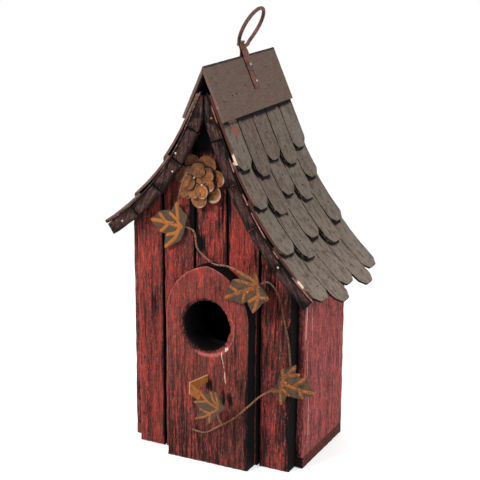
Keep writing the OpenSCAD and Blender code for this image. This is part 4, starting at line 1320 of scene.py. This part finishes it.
def build_perch():
    """The leaf, the folded arm beside it and the strip out of the plaque."""
    leaf = leaf_relief(PERCH_RIM, PERCH_VEINS, 0.45, 0.0, 204, 0.62)

    def leaf_part(p):
        lift, masks = leaf(p)
        return min(lift, 0.55), masks

    outline = bulged([polar(*corner) for corner in PERCH_RIM], 0.04)
    plate, masks = tin_sheet(outline, leaf_part, 0.4, 0.5)
    place = Matrix.Translation(PERCH_LEAF + mm(0, 0.2, 0))
    tin_piece("perch_leaf_plate", plate, masks, place, LEAF_TIN, ("perch_leaf",), 204)

    fold = (PERCH_FOLD - PERCH_LEAF) * 1000
    arm = [
        Vector((fold.x, fold.z - PERCH_HALF_W)), *PERCH_ARM_TIPS,
        Vector((fold.x, fold.z + PERCH_HALF_W))]

    def arm_part(p):
        crease = wander(p.x / 5, p.y / 5, 1.5)
        return 0.1 + 0.06 * crease, {
            "vein": 0.75 + 0.5 * crease, "worn": clamp((fold.x + 1.8 - p.x) / 1.6)}

    plate, masks = tin_sheet(arm, arm_part, 0.45, 0.8)
    place = Matrix.Translation(PERCH_LEAF + mm(0, 0.1, 0))
    tin_piece("perch_arm_plate", plate, masks, place, PERCH_TIN, (), 205)

    run = PERCH_ROOT - PERCH_FOLD
    length = math.hypot(run.x, run.y) * 1000
    strip = [
        Vector((0, -PERCH_HALF_W)), Vector((length, -0.5)), Vector((length, 4.5)),
        Vector((0, PERCH_HALF_W))]

    def strip_part(p):
        crease = wander(p.x / 4, p.y / 4, 3.0)
        rubbed = max(clamp(p.y - 3.2), clamp(1 - p.x / 1.8))
        return 0.0, {"vein": 0.8 + 0.4 * crease, "worn": rubbed}

    plate, masks = tin_sheet(strip, strip_part, 0.6, 0.8)
    turn = Matrix.Rotation(math.atan2(run.y, run.x), 4, "Z")
    tin_piece("perch_strip", plate, masks, Matrix.Translation(PERCH_FOLD) @ turn, PERCH_TIN,
              (), 206)


build_perch()


# ---- Flower ------------------------------------------------------------------------------

FLOWER = Vector((-0.0065, SLAT_Y - TIN_GAP, 0.200))
PETALS = 7

TIN_MASKS = ("vein", "worn", "dark", "board")


def petal_cup(centre, tilt_axis, tilt, radius, depth, seed, over=()):
    """One petal, in millimetres: a round cupped plate about its centre, as (bmesh, masks).

    over lists the petals in front of this one as (centre, radius), for the painted shade
    round the edge of each of them.
    """
    rings, sides, thickness = 9, 34, 0.35
    rng = random.Random(seed)
    shift = random_shift(rng, 50)
    turn = Matrix.Rotation(tilt, 3, tilt_axis)
    outward = Vector((centre.x, 0, centre.z)).normalized()
    lit = outward.dot(Vector((0.7, 0, -0.7)))
    tone = clamp(0.5 - 0.45 * lit + rng.uniform(-0.3, 0.3))
    bm = bmesh.new()
    masks = {key: [] for key in TIN_MASKS}
    layers = []
    for back in (0, 1):
        grid = []
        for i in range(rings + 1):
            share = i / rings
            row = []
            for k in range(1 if i == 0 else sides):
                angle = 2 * math.pi * k / sides
                way = Vector((math.cos(angle), 0, math.sin(angle))) * share
                wave = noise.noise(way * 1.6 + shift)
                flat = way * radius * (1 + 0.05 * noise.noise(way * 2.5 + shift))
                free = 0.15 + 0.85 * clamp(0.5 + 0.9 * outward.dot(way))
                lift = depth * share ** 2.2 * free + 0.3 * wave
                point = turn @ (flat + Vector((0, -lift + back * thickness, 0)))
                row.append(bm.verts.new(point + centre))
                crevice_shade = 0.0
                for middle, reach in over:
                    beyond = math.hypot(
                        flat.x + centre.x - middle.x, flat.z + centre.z - middle.z) - reach
                    crevice_shade = max(crevice_shade, fade(abs(beyond), 0.3, 1.5))
                rubbed = clamp((share - 0.5) * 2.6) * (
                    0.35 + 0.9 * wave + 0.35 * math.cos(angle + 0.6) + 0.45 * lit)
                masks["vein"].append(clamp(0.95 - 0.9 * share + 0.9 * wave))
                masks["worn"].append(clamp(rubbed) * (0.4 if back else 1.0))
                # The back, which faces the boards, gets painted shade
                masks["dark"].append(0.9 if back else crevice_shade)
                masks["board"].append(tone)
            grid.append(row)
        layers.append(grid)
    for back, grid in enumerate(layers):
        for i in range(rings):
            for k in range(sides):
                n = (k + 1) % sides
                outer = [grid[i + 1][k], grid[i + 1][n]]
                corners = [grid[i][k], *outer, grid[i][n]] if i else [grid[0][0], *outer]
                bm.faces.new(corners if back else corners[::-1])
    band(bm, layers[0][rings], layers[1][rings])
    return bm, masks


def petal_spots(distance, radius, turn, seed):
    """Centre, size and outward direction of each petal of a layer, in millimetres."""
    spots = []
    for i in range(PETALS):
        angle = math.radians(turn + 360 * i / PETALS)
        outward = Vector((math.cos(angle), 0, math.sin(angle)))
        size = radius * random.Random(seed + i).uniform(0.93, 1.06)
        spots.append((outward * distance - BACKWARDS * (0.2 + 0.75 * (i % 2)), size, outward))
    return spots


def flower_layer(name, node, layer, back, depth, seed, over=()):
    """Overlapping cupped petals round a hub, all in one plate."""
    parts = []
    for i, (centre, size, outward) in enumerate(layer):
        rng = random.Random(seed + 50 + i)
        sideways = Vector((-outward.z, 0, outward.x))
        fronts = [p[:2] for p in layer if p[0].y < centre.y - 0.1] + list(over)
        parts.append(petal_cup(
            centre, outward + 0.4 * sideways, math.radians(rng.uniform(3, 7)), size, depth,
            seed + 11 * i, fronts))
    hub = layer[0][0].length * 0.8
    parts.append(petal_cup(
        Vector((0, -0.1, 0)), RIGHTWARDS, 0.0, hub, 0.35, seed + 97, [p[:2] for p in layer]))
    masks = {key: [value for _, found in parts for value in found[key]] for key in TIN_MASKS}
    place = Matrix.Translation(FLOWER + Vector((0, back, 0)))
    tin_piece(name, joined([bm for bm, _ in parts]), masks, place, FLOWER_TIN,
              (node,), seed)


FIRST_PETAL_TURN = 12
OUTER_PETALS = petal_spots(12.6, 6.2, FIRST_PETAL_TURN, 301)
INNER_PETALS = petal_spots(7.6, 5.0, FIRST_PETAL_TURN + 180 / PETALS, 330)
flower_layer("flower_petals_outer", "flower_outer_petals", OUTER_PETALS, -0.3 * MM, 1.5, 301,
             [p[:2] for p in INNER_PETALS])
flower_layer("flower_petals_inner", "flower_inner_petals", INNER_PETALS, -2.7 * MM, 1.5, 330)


# ---- Wires -------------------------------------------------------------------------------

# The CAD wires' radius, the strands' radius and the length of one full twist
WIRE_R = 0.9 * MM
STRAND_R = 0.36 * MM
TWIST_PITCH = 4.6 * MM
# From a leaf's back to the centre of a wire that lies behind it
BEHIND = Vector((0, WIRE_R, 0))
# The centre of a wire that lies on the plaque, at its foot and at its top
PLAQUE_FOOT = Vector((PLAQUE_X, PLAQUE_Y, 0)) - BEHIND
PLAQUE_TOP = PLAQUE_FOOT + UP * PLAQUE_HIGH.z

# Points along each wire, from one leaf to the next
WIRES = {
    "flower_stem_wire": [
        FLOWER + mm(-6.2, -7.4, 6.5), FLOWER + mm(-9.4, -8.2, -1.5),
        FLOWER + mm(-12.7, -6.4, -9.6), FLOWER + mm(-15.7, -2.3, -17.2),
        LEAF_1 + BEHIND + mm(-1.6, 0, 9)],
    "vine_wire_upper": [
        LEAF_1 + BEHIND + mm(-2, 0, 0), LEAF_1 + BEHIND + mm(4.5, 0, -1.6),
        LEAF_1 + mm(10.5, -1.2, -3.6), LEAF_1 + mm(14.5, -4.6, -13),
        PLAQUE_TOP + BEHIND + mm(-2, 1.5, 5.6), PLAQUE_TOP + mm(6.5, -0.6, 2.8),
        LEAF_2 + mm(-22, 0.85, 9.8), LEAF_2 + BEHIND + mm(-12, 0, 7)],
    "vine_wire_side": [
        LEAF_2 + BEHIND + mm(-1, 0, -1), LEAF_2 + BEHIND + mm(6.6, 0.4, 3),
        LEAF_2 + mm(10.2, 4.5, -0.7), LEAF_3 + mm(-2, -0.6, 61.5), LEAF_3 + mm(1.5, 1, 42.5),
        LEAF_3 + mm(4, 1, 31.5), LEAF_3 + BEHIND + mm(6, 0, 14)],
    "vine_wire_lower": [
        LEAF_3 + BEHIND + mm(-3, 0, -2), LEAF_3 + BEHIND + mm(-8, 0, -5.4),
        LEAF_3 + mm(-14, -5.5, -9), PLAQUE_FOOT + BEHIND + mm(32.5, -1.2, 49.5),
        PLAQUE_FOOT + mm(21.8, -0.3, 39), PLAQUE_FOOT + mm(7.6, -0.3, 28.6),
        PLAQUE_FOOT + mm(-1.3, 0, 23.2), PLAQUE_FOOT + mm(-11.3, 0, 23.7)],
    "perch_stem_wire": [
        PERCH_LEAF + BEHIND + mm(-0.5, 0, 1), PERCH_LEAF + mm(-0.8, 4, -7),
        PLAQUE_FOOT + mm(13.8, -5.5, 37), PLAQUE_FOOT + mm(13.2, -2.2, 32.6)],
}
# How dark the wire is that hangs in the shade of the roof
SHADED_WIRES = {"vine_wire_side": 0.6}


def evenly(points, spacing):
    """Points at even steps of about the spacing along a chain of points, and its length."""
    lengths = [0.0]
    for a, b in zip(points, points[1:]):
        lengths.append(lengths[-1] + (b - a).length)
    total = lengths[-1]
    count = max(8, int(total / spacing))
    even, j = [], 0
    for i in range(count + 1):
        goal = total * i / count
        while j < len(lengths) - 2 and lengths[j + 1] < goal:
            j += 1
        share = clamp((goal - lengths[j]) / max(lengths[j + 1] - lengths[j], 1e-9))
        even.append(points[j].lerp(points[j + 1], share))
    return even, total


def build_wire(node, points, seed):
    """Two thin strands twisted round the CAD wire's centre line, with painted shade between them.
    """
    even, length = evenly(catmull(points, 16), 0.42 * MM)
    last = len(even) - 1
    bm = bmesh.new()
    for strand in (0, 1):
        line = []
        for i, centre in enumerate(even):
            way = (even[min(i + 1, last)] - even[max(i - 1, 0)]).normalized()
            side = way.cross(BACKWARDS).normalized()
            up = side.cross(way)
            turn = 2 * math.pi * (length * i / last) / TWIST_PITCH + math.pi * strand
            line.append(centre + STRAND_R * (math.cos(turn) * side + math.sin(turn) * up))
        tube(bm, line, [(STRAND_R, STRAND_R)] * len(line), 7)
    core_distance = nearest(even)
    grime_and_shade = SHADED_WIRES.get(node, 0.0)
    dark = [max(grime_and_shade, fade(core_distance(v.co), 0.2 * MM, 0.6 * MM)) for v in bm.verts]
    steel_piece("twisted_" + node, bm, WIRE_STEEL, (node,), seed, {"dark": dark})


for number, (wire_node, wire_points) in enumerate(WIRES.items()):
    build_wire(wire_node, wire_points, 400 + number)


# ---- Hanger ------------------------------------------------------------------------------

# The slope of the ridge caps, the strap's and the ring's sizes as in the CAD, and how far the
# ring leans to the right
CAP_PITCH = math.radians(66)
STRAP_W = 8.5 * MM
STRAP_T = 1.5 * MM
STRAP_LEN = 24.5 * MM
RING_WIRE = 2.6 * MM
RING_R = 15.6 * MM
RING_LEAN = math.radians(27)
NECK = RIDGE + mm(-3.5, 0, 5)
RING_UP = Vector((math.sin(RING_LEAN), 0, math.cos(RING_LEAN)))
RING_AXIS = Vector((math.cos(RING_LEAN), 0, -math.sin(RING_LEAN)))
RING_CENTRE = NECK + RING_R * RING_UP


def cap_point(side, run, out):
    """A point on a ridge cap board: run down from the ridge and out from its face."""
    down = Vector((side * math.cos(CAP_PITCH), 0, -math.sin(CAP_PITCH)))
    outward = Vector((side * math.sin(CAP_PITCH), 0, math.cos(CAP_PITCH)))
    return RIDGE + run * down + out * outward


# The loop's foot stands this far up the neck
NECK_RISE = 3.8 * MM
LOOP_FOOT = NECK + NECK_RISE * RING_UP

# The loop's shift from the CAD's ring, and the direction that it lies along
LOOP_SHIFT = mm(0.8, 0, -0.8)
LOOP_WAY = Vector((-0.07, 1, 0)).normalized()


def strap_legs(bm):
    """Two strap legs that lie on the ridge caps and close into a tapered neck."""
    for side in (-1, 1):
        neck = LOOP_FOOT + mm(0.6 * side, 0, 0)
        stations = [
            (cap_point(side, share * STRAP_LEN, STRAP_T / 2 + 0.1 * MM), 1.0, 1.0)
            for share in (1.0, 0.8, 0.5, 0.25, 0.1)]
        stations += [
            (RIDGE + mm(1.2 * side - 0.2, 0, 1.2), 1.0, 1.0),
            (RIDGE + mm(0.7 * side - 1.1, 0, 4.2), 0.92, 1.0),
            (neck - 1.6 * MM * RING_UP, 0.74, 0.85),
            (neck + 0.8 * MM * RING_UP, 0.6, 0.85)]
        centres = catmull([point for point, _, _ in stations], 6)
        sizes = catmull([
            Vector((width * STRAP_W / 2, thickness * STRAP_T / 2, 0))
            for _, width, thickness in stations], 6)
        tube(bm, centres, [(size.x, size.y) for size in sizes], 16, BACKWARDS)


def wire_loop(bm):
    """A leaning, slightly flattened wire loop whose ends lap on both sides of the neck."""
    tall = RING_R - NECK_RISE / 2
    middle = RING_CENTRE + NECK_RISE / 2 * RING_UP + LOOP_SHIFT
    lap = 0.8 * RING_WIRE
    steps = 17
    loop = []
    for step in range(-steps, steps + 1):
        angle = math.radians(10 * step)
        bend = (abs(step) / steps) ** 8 * lap * (1 if step > 0 else -1)
        on_ring = middle + tall * math.cos(angle) * RING_UP + RING_R * math.sin(angle) * LOOP_WAY
        loop.append(on_ring + bend * RING_AXIS)
    tails = [
        LOOP_FOOT + way * lap * RING_AXIS - way * 1.1 * MM * LOOP_WAY - 3.2 * MM * RING_UP
        for way in (-1, 1)]
    centres = catmull([tails[0], *loop, tails[1]], 4)
    tube(bm, centres, [(RING_WIRE / 2, RING_WIRE / 2)] * len(centres), 14, RING_AXIS)


def build_hanger():
    bm = bmesh.new()
    strap_legs(bm)
    wire_loop(bm)
    foot = -LOOP_FOOT.z
    dark = [0.4 * fade(-v.co.z, foot - 3 * MM, foot + 2 * MM) for v in bm.verts]
    steel_piece("strap_and_loop", bm, HANGER_STEEL, ("hanger",), 501,
                {"dark": dark})


build_hanger()


# ---- Nails -------------------------------------------------------------------------------


def nail_piece(name, heads, radius, height, shank_length, material, nodes, seed):
    """Nails at (point, normal), with their sizes in millimetres."""
    rng = random.Random(seed)
    bm = bmesh.new()
    for at, normal in heads:
        tilt = Vector([rng.uniform(-0.12, 0.12) for _ in range(3)])
        size = radius * MM * rng.uniform(0.9, 1.08)
        nail_head(bm, at, (normal + tilt).normalized(), size, height * MM)
        shank(bm, at + normal * height * MM * 0.4, at - normal * shank_length * MM, 0.55 * MM)
    steel_piece(name, bm, material, nodes, seed)


def on_front(y, places):
    """Nails at y that face the front, from their x and z."""
    return [(Vector((x, y, z)), FRONTWARDS) for x, z in places]


def shingle_nails():
    """None, one or two small nails in the bare part of each shingle."""
    rng = random.Random(650)
    heads = []
    for side, k in COURSES:
        move = rear_trim(f"shingle_course_{side}_{k}")
        for bm in node_islands(f"shingle_course_{side}_{k}"):
            tree = BVHTree.FromBMesh(bm)
            down = fall_line(bm)
            outward = Vector((-down.z, 0, down.x))
            if outward.z < 0:
                outward = -outward
            near, far = min(v.co.y for v in bm.verts), max(v.co.y for v in bm.verts)
            tip = max(bm.verts, key=lambda v: v.co.dot(down)).co
            for _ in range(rng.choice((0, 1, 1, 2))):
                back = rng.uniform(10, 21) * MM
                y = rng.uniform(0.75 * near + 0.25 * far, 0.25 * near + 0.75 * far)
                above = Vector((tip.x, y, tip.z)) - back * down + 30 * MM * outward
                point, normal, _, _ = tree.ray_cast(above, -outward)
                if point is not None:
                    heads.append((point + move(point) - 0.02 * MM * outward, normal))
            bm.free()
    return heads


# Nails that are only small dark heads, as x and z
SLAT_NAILS = (
    (-0.0532, 0.0652), (-0.0548, 0.0214), (-0.0508, 0.0049), (0.0537, 0.0849),
    (0.0489, 0.0038), (0.0560, 0.012))
BARGE_NAILS = ((-0.0635, 0.1665), (-0.0211, 0.2183), (-0.0236, 0.2057), (0.0547, 0.1499))
RUSTY_BARGE_NAIL = (0.0057, 0.2442)

# The same on each ridge cap board: millimetres down from the ridge, and y in millimetres
CAP_NAILS = (
    (9, -49), (13, -46), (26, -45), (24, -31), (23.5, -25), (20, -9), (21, 5), (25, 24),
    (12, 30), (24, 44))


def build_nails():
    nail_piece("flower_nail_heads", [
        (FLOWER + mm(-2.8, -4.1, 2.24), FRONTWARDS), (FLOWER + mm(2.8, -4.1, -2.24), FRONTWARDS)],
        0.85, 0.6, 3.0, NAIL_STEEL, ("flower_nails",), 601)
    nail_piece("leaf_nail_heads", [
        (LEAF_1 + mm(-6, -1.35, 1.5), FRONTWARDS), (LEAF_2 + mm(-6, -1.35, -5), FRONTWARDS),
        (LEAF_3 + mm(3.5, -1.35, 3), FRONTWARDS)],
        0.9, 0.5, 3.0, RUST_NAIL, ("leaf_nails",), 602)
    outward = {side: cap_point(side, 0, 1) - RIDGE for side in (-1, 1)}
    nail_piece("strap_nail_heads", [
        (cap_point(side, share * STRAP_LEN, STRAP_T + 0.1 * MM), outward[side])
        for side in (-1, 1) for share in (0.31, 0.8)],
        0.95, 0.7, 2.8, NAIL_STEEL, ("hanger_nails",), 603)
    nail_piece("slat_nail_heads", on_front(SLAT_Y + 0.15 * MM, SLAT_NAILS),
               0.95, 0.4, 1.5, DARK_NAIL, (), 604)
    nail_piece("barge_nail_heads", on_front(ROOF_Y + 0.1 * MM, BARGE_NAILS),
               0.8, 0.4, 1.5, NAIL_STEEL, (), 605)
    nail_piece("rusty_barge_nail", on_front(ROOF_Y + 0.1 * MM, [RUSTY_BARGE_NAIL]),
               0.8, 0.4, 1.5, RUST_NAIL, (), 606)
    nail_piece("shingle_nail_heads", shingle_nails(), 0.75, 0.3, 1.2, DARK_NAIL, (), 608)
    nail_piece("cap_nail_heads", [
        (cap_point(side, run * MM, 0) + Vector((0, y * MM - RIDGE.y, 0)), outward[side])
        for side in (-1, 1) for run, y in CAP_NAILS],
        0.8, 0.3, 1.2, DARK_NAIL, (), 609)


build_nails()


def build_screw():
    """The clean-out cover's pivot screw: a bevelled head and its shank."""
    low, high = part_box("cleanout_screw")
    centre_x, centre_z = (low.x + high.x) / 2, (low.z + high.z) / 2
    face_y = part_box("cleanout_cover")[1].y + 0.4 * MM
    profile = (
        (2.4, high.y - 0.1 * MM), (3.0, high.y - 0.25 * MM), (4.0, face_y + 0.5 * MM),
        (4.1, face_y + 0.15 * MM), (3.9, face_y), (2.0, face_y), (2.0, low.y))
    bm = bmesh.new()
    rings = [
        ring(bm, 40, lambda c, s: (centre_x + radius * MM * c, y, centre_z + radius * MM * s))
        for radius, y in profile]
    cone(bm, bm.verts.new((centre_x, high.y - 0.2 * MM, centre_z)), rings[0])
    for first, second in zip(rings, rings[1:]):
        band(bm, first, second)
    bm.faces.new(rings[-1])
    steel_piece("pivot_screw_head", bm, NAIL_STEEL, ("cleanout_screw",), 607)


build_screw()


# ---- Camera, light and floor ---------------------------------------------------------------

CAMERA_AT = Vector((0.3918, -0.7903, 0.4007))
CAMERA_YAW = math.radians(26.387)
CAMERA_PITCH = math.radians(16.02)
CAMERA_ROLL = math.radians(0.36)
CAMERA_LENS = 97.39


def build_camera():
    forward = Vector((
        -math.sin(CAMERA_YAW) * math.cos(CAMERA_PITCH),
        math.cos(CAMERA_YAW) * math.cos(CAMERA_PITCH), -math.sin(CAMERA_PITCH)))
    level = Vector((math.cos(CAMERA_YAW), math.sin(CAMERA_YAW), 0))
    upright = level.cross(forward)
    right = math.cos(CAMERA_ROLL) * level + math.sin(CAMERA_ROLL) * upright
    up = math.cos(CAMERA_ROLL) * upright - math.sin(CAMERA_ROLL) * level
    data = bpy.data.cameras.new("camera")
    data.sensor_width = 36.0
    data.lens = CAMERA_LENS
    data.clip_start = 0.01
    camera = bpy.data.objects.new("camera", data)
    turn = Matrix((right, up, -forward)).transposed().to_4x4()
    camera.matrix_world = Matrix.Translation(CAMERA_AT) @ turn
    bpy.context.scene.collection.objects.link(camera)
    bpy.context.scene.camera = camera


WORLD_LIGHT = 0.3

WHITE = (255, 255, 255)
FLOOR_GREY = (228.54, 228.54, 228.54)


def build_world():
    """White to the camera and in reflections, and a weaker light on everything."""
    world = bpy.data.worlds.new("studio")
    bpy.context.scene.world = world
    world.use_nodes = True
    nodes = Nodes(world.node_tree)
    light = nodes.add("Background", {"Color": WHITE, "Strength": WORLD_LIGHT})
    white = nodes.add("Background", {"Color": WHITE, "Strength": 1.0})
    mix = nodes.add("MixShader", {
        0: nodes.seen_directly(), 1: light.outputs[0], 2: white.outputs[0]})
    nodes.add("OutputWorld", {"Surface": mix.outputs[0]})


FLOOR_R = 0.56

# Distances from the middle between which the floor fades away
FLOOR_FADE = (0.25, 0.55)


def build_floor():
    """A round matt floor, brighter to the camera, that fades into the white round it."""
    bm = bmesh.new()
    bm.faces.new(ring(bm, 64, lambda c, s: (FLOOR_R * c, FLOOR_R * s, -0.4 * MM)))
    mesh = bpy.data.meshes.new("studio_floor")
    bm.to_mesh(mesh)
    bm.free()
    material = bpy.data.materials.new("studio_floor")
    material.use_nodes = True
    mesh.materials.append(material)
    nodes = Nodes(material.node_tree)
    matt = nodes.add("BsdfDiffuse", {"Color": FLOOR_GREY})
    brighter = nodes.math("MULTIPLY", nodes.seen_directly(), 0.5)
    glow = nodes.add("Emission", {"Color": WHITE, "Strength": brighter})
    both = nodes.add("AddShader", {0: matt.outputs[0], 1: glow.outputs[0]})
    place = nodes.add("TexCoord", {}).outputs["Object"]
    reach = nodes.add("VectorMath", {0: place}, "LENGTH").outputs["Value"]
    clear = nodes.add("BsdfTransparent", {})
    faded = nodes.add("MixShader", {
        0: nodes.step(reach, *FLOOR_FADE), 1: both.outputs[0], 2: clear.outputs[0]})
    nodes.add("OutputMaterial", {"Surface": faded.outputs[0]})
    floor = bpy.data.objects.new("studio_floor", mesh)
    bpy.context.scene.collection.objects.link(floor)


HOUSE_MIDDLE = Vector((0, 0, 0.15))


def area_light(name, place, size, power):
    """A square lamp that points at the middle of the house."""
    data = bpy.data.lights.new(name, "AREA")
    data.size = size
    data.energy = power
    lamp = bpy.data.objects.new(name, data)
    lamp.location = place
    lamp.rotation_euler = (HOUSE_MIDDLE - lamp.location).to_track_quat("-Z", "Y").to_euler()
    bpy.context.scene.collection.objects.link(lamp)


def build_lights():
    area_light("key", (-0.55, -1.15, 1.05), size=0.35, power=19)
    area_light("right_fill", (1.35, -0.35, 0.85), size=1.0, power=17)
    area_light("back_fill", (-0.5, 1.5, 0.9), size=1.2, power=9)


build_camera()
build_world()
build_floor()
build_lights()
bpy.context.scene.view_settings.view_transform = "Standard"
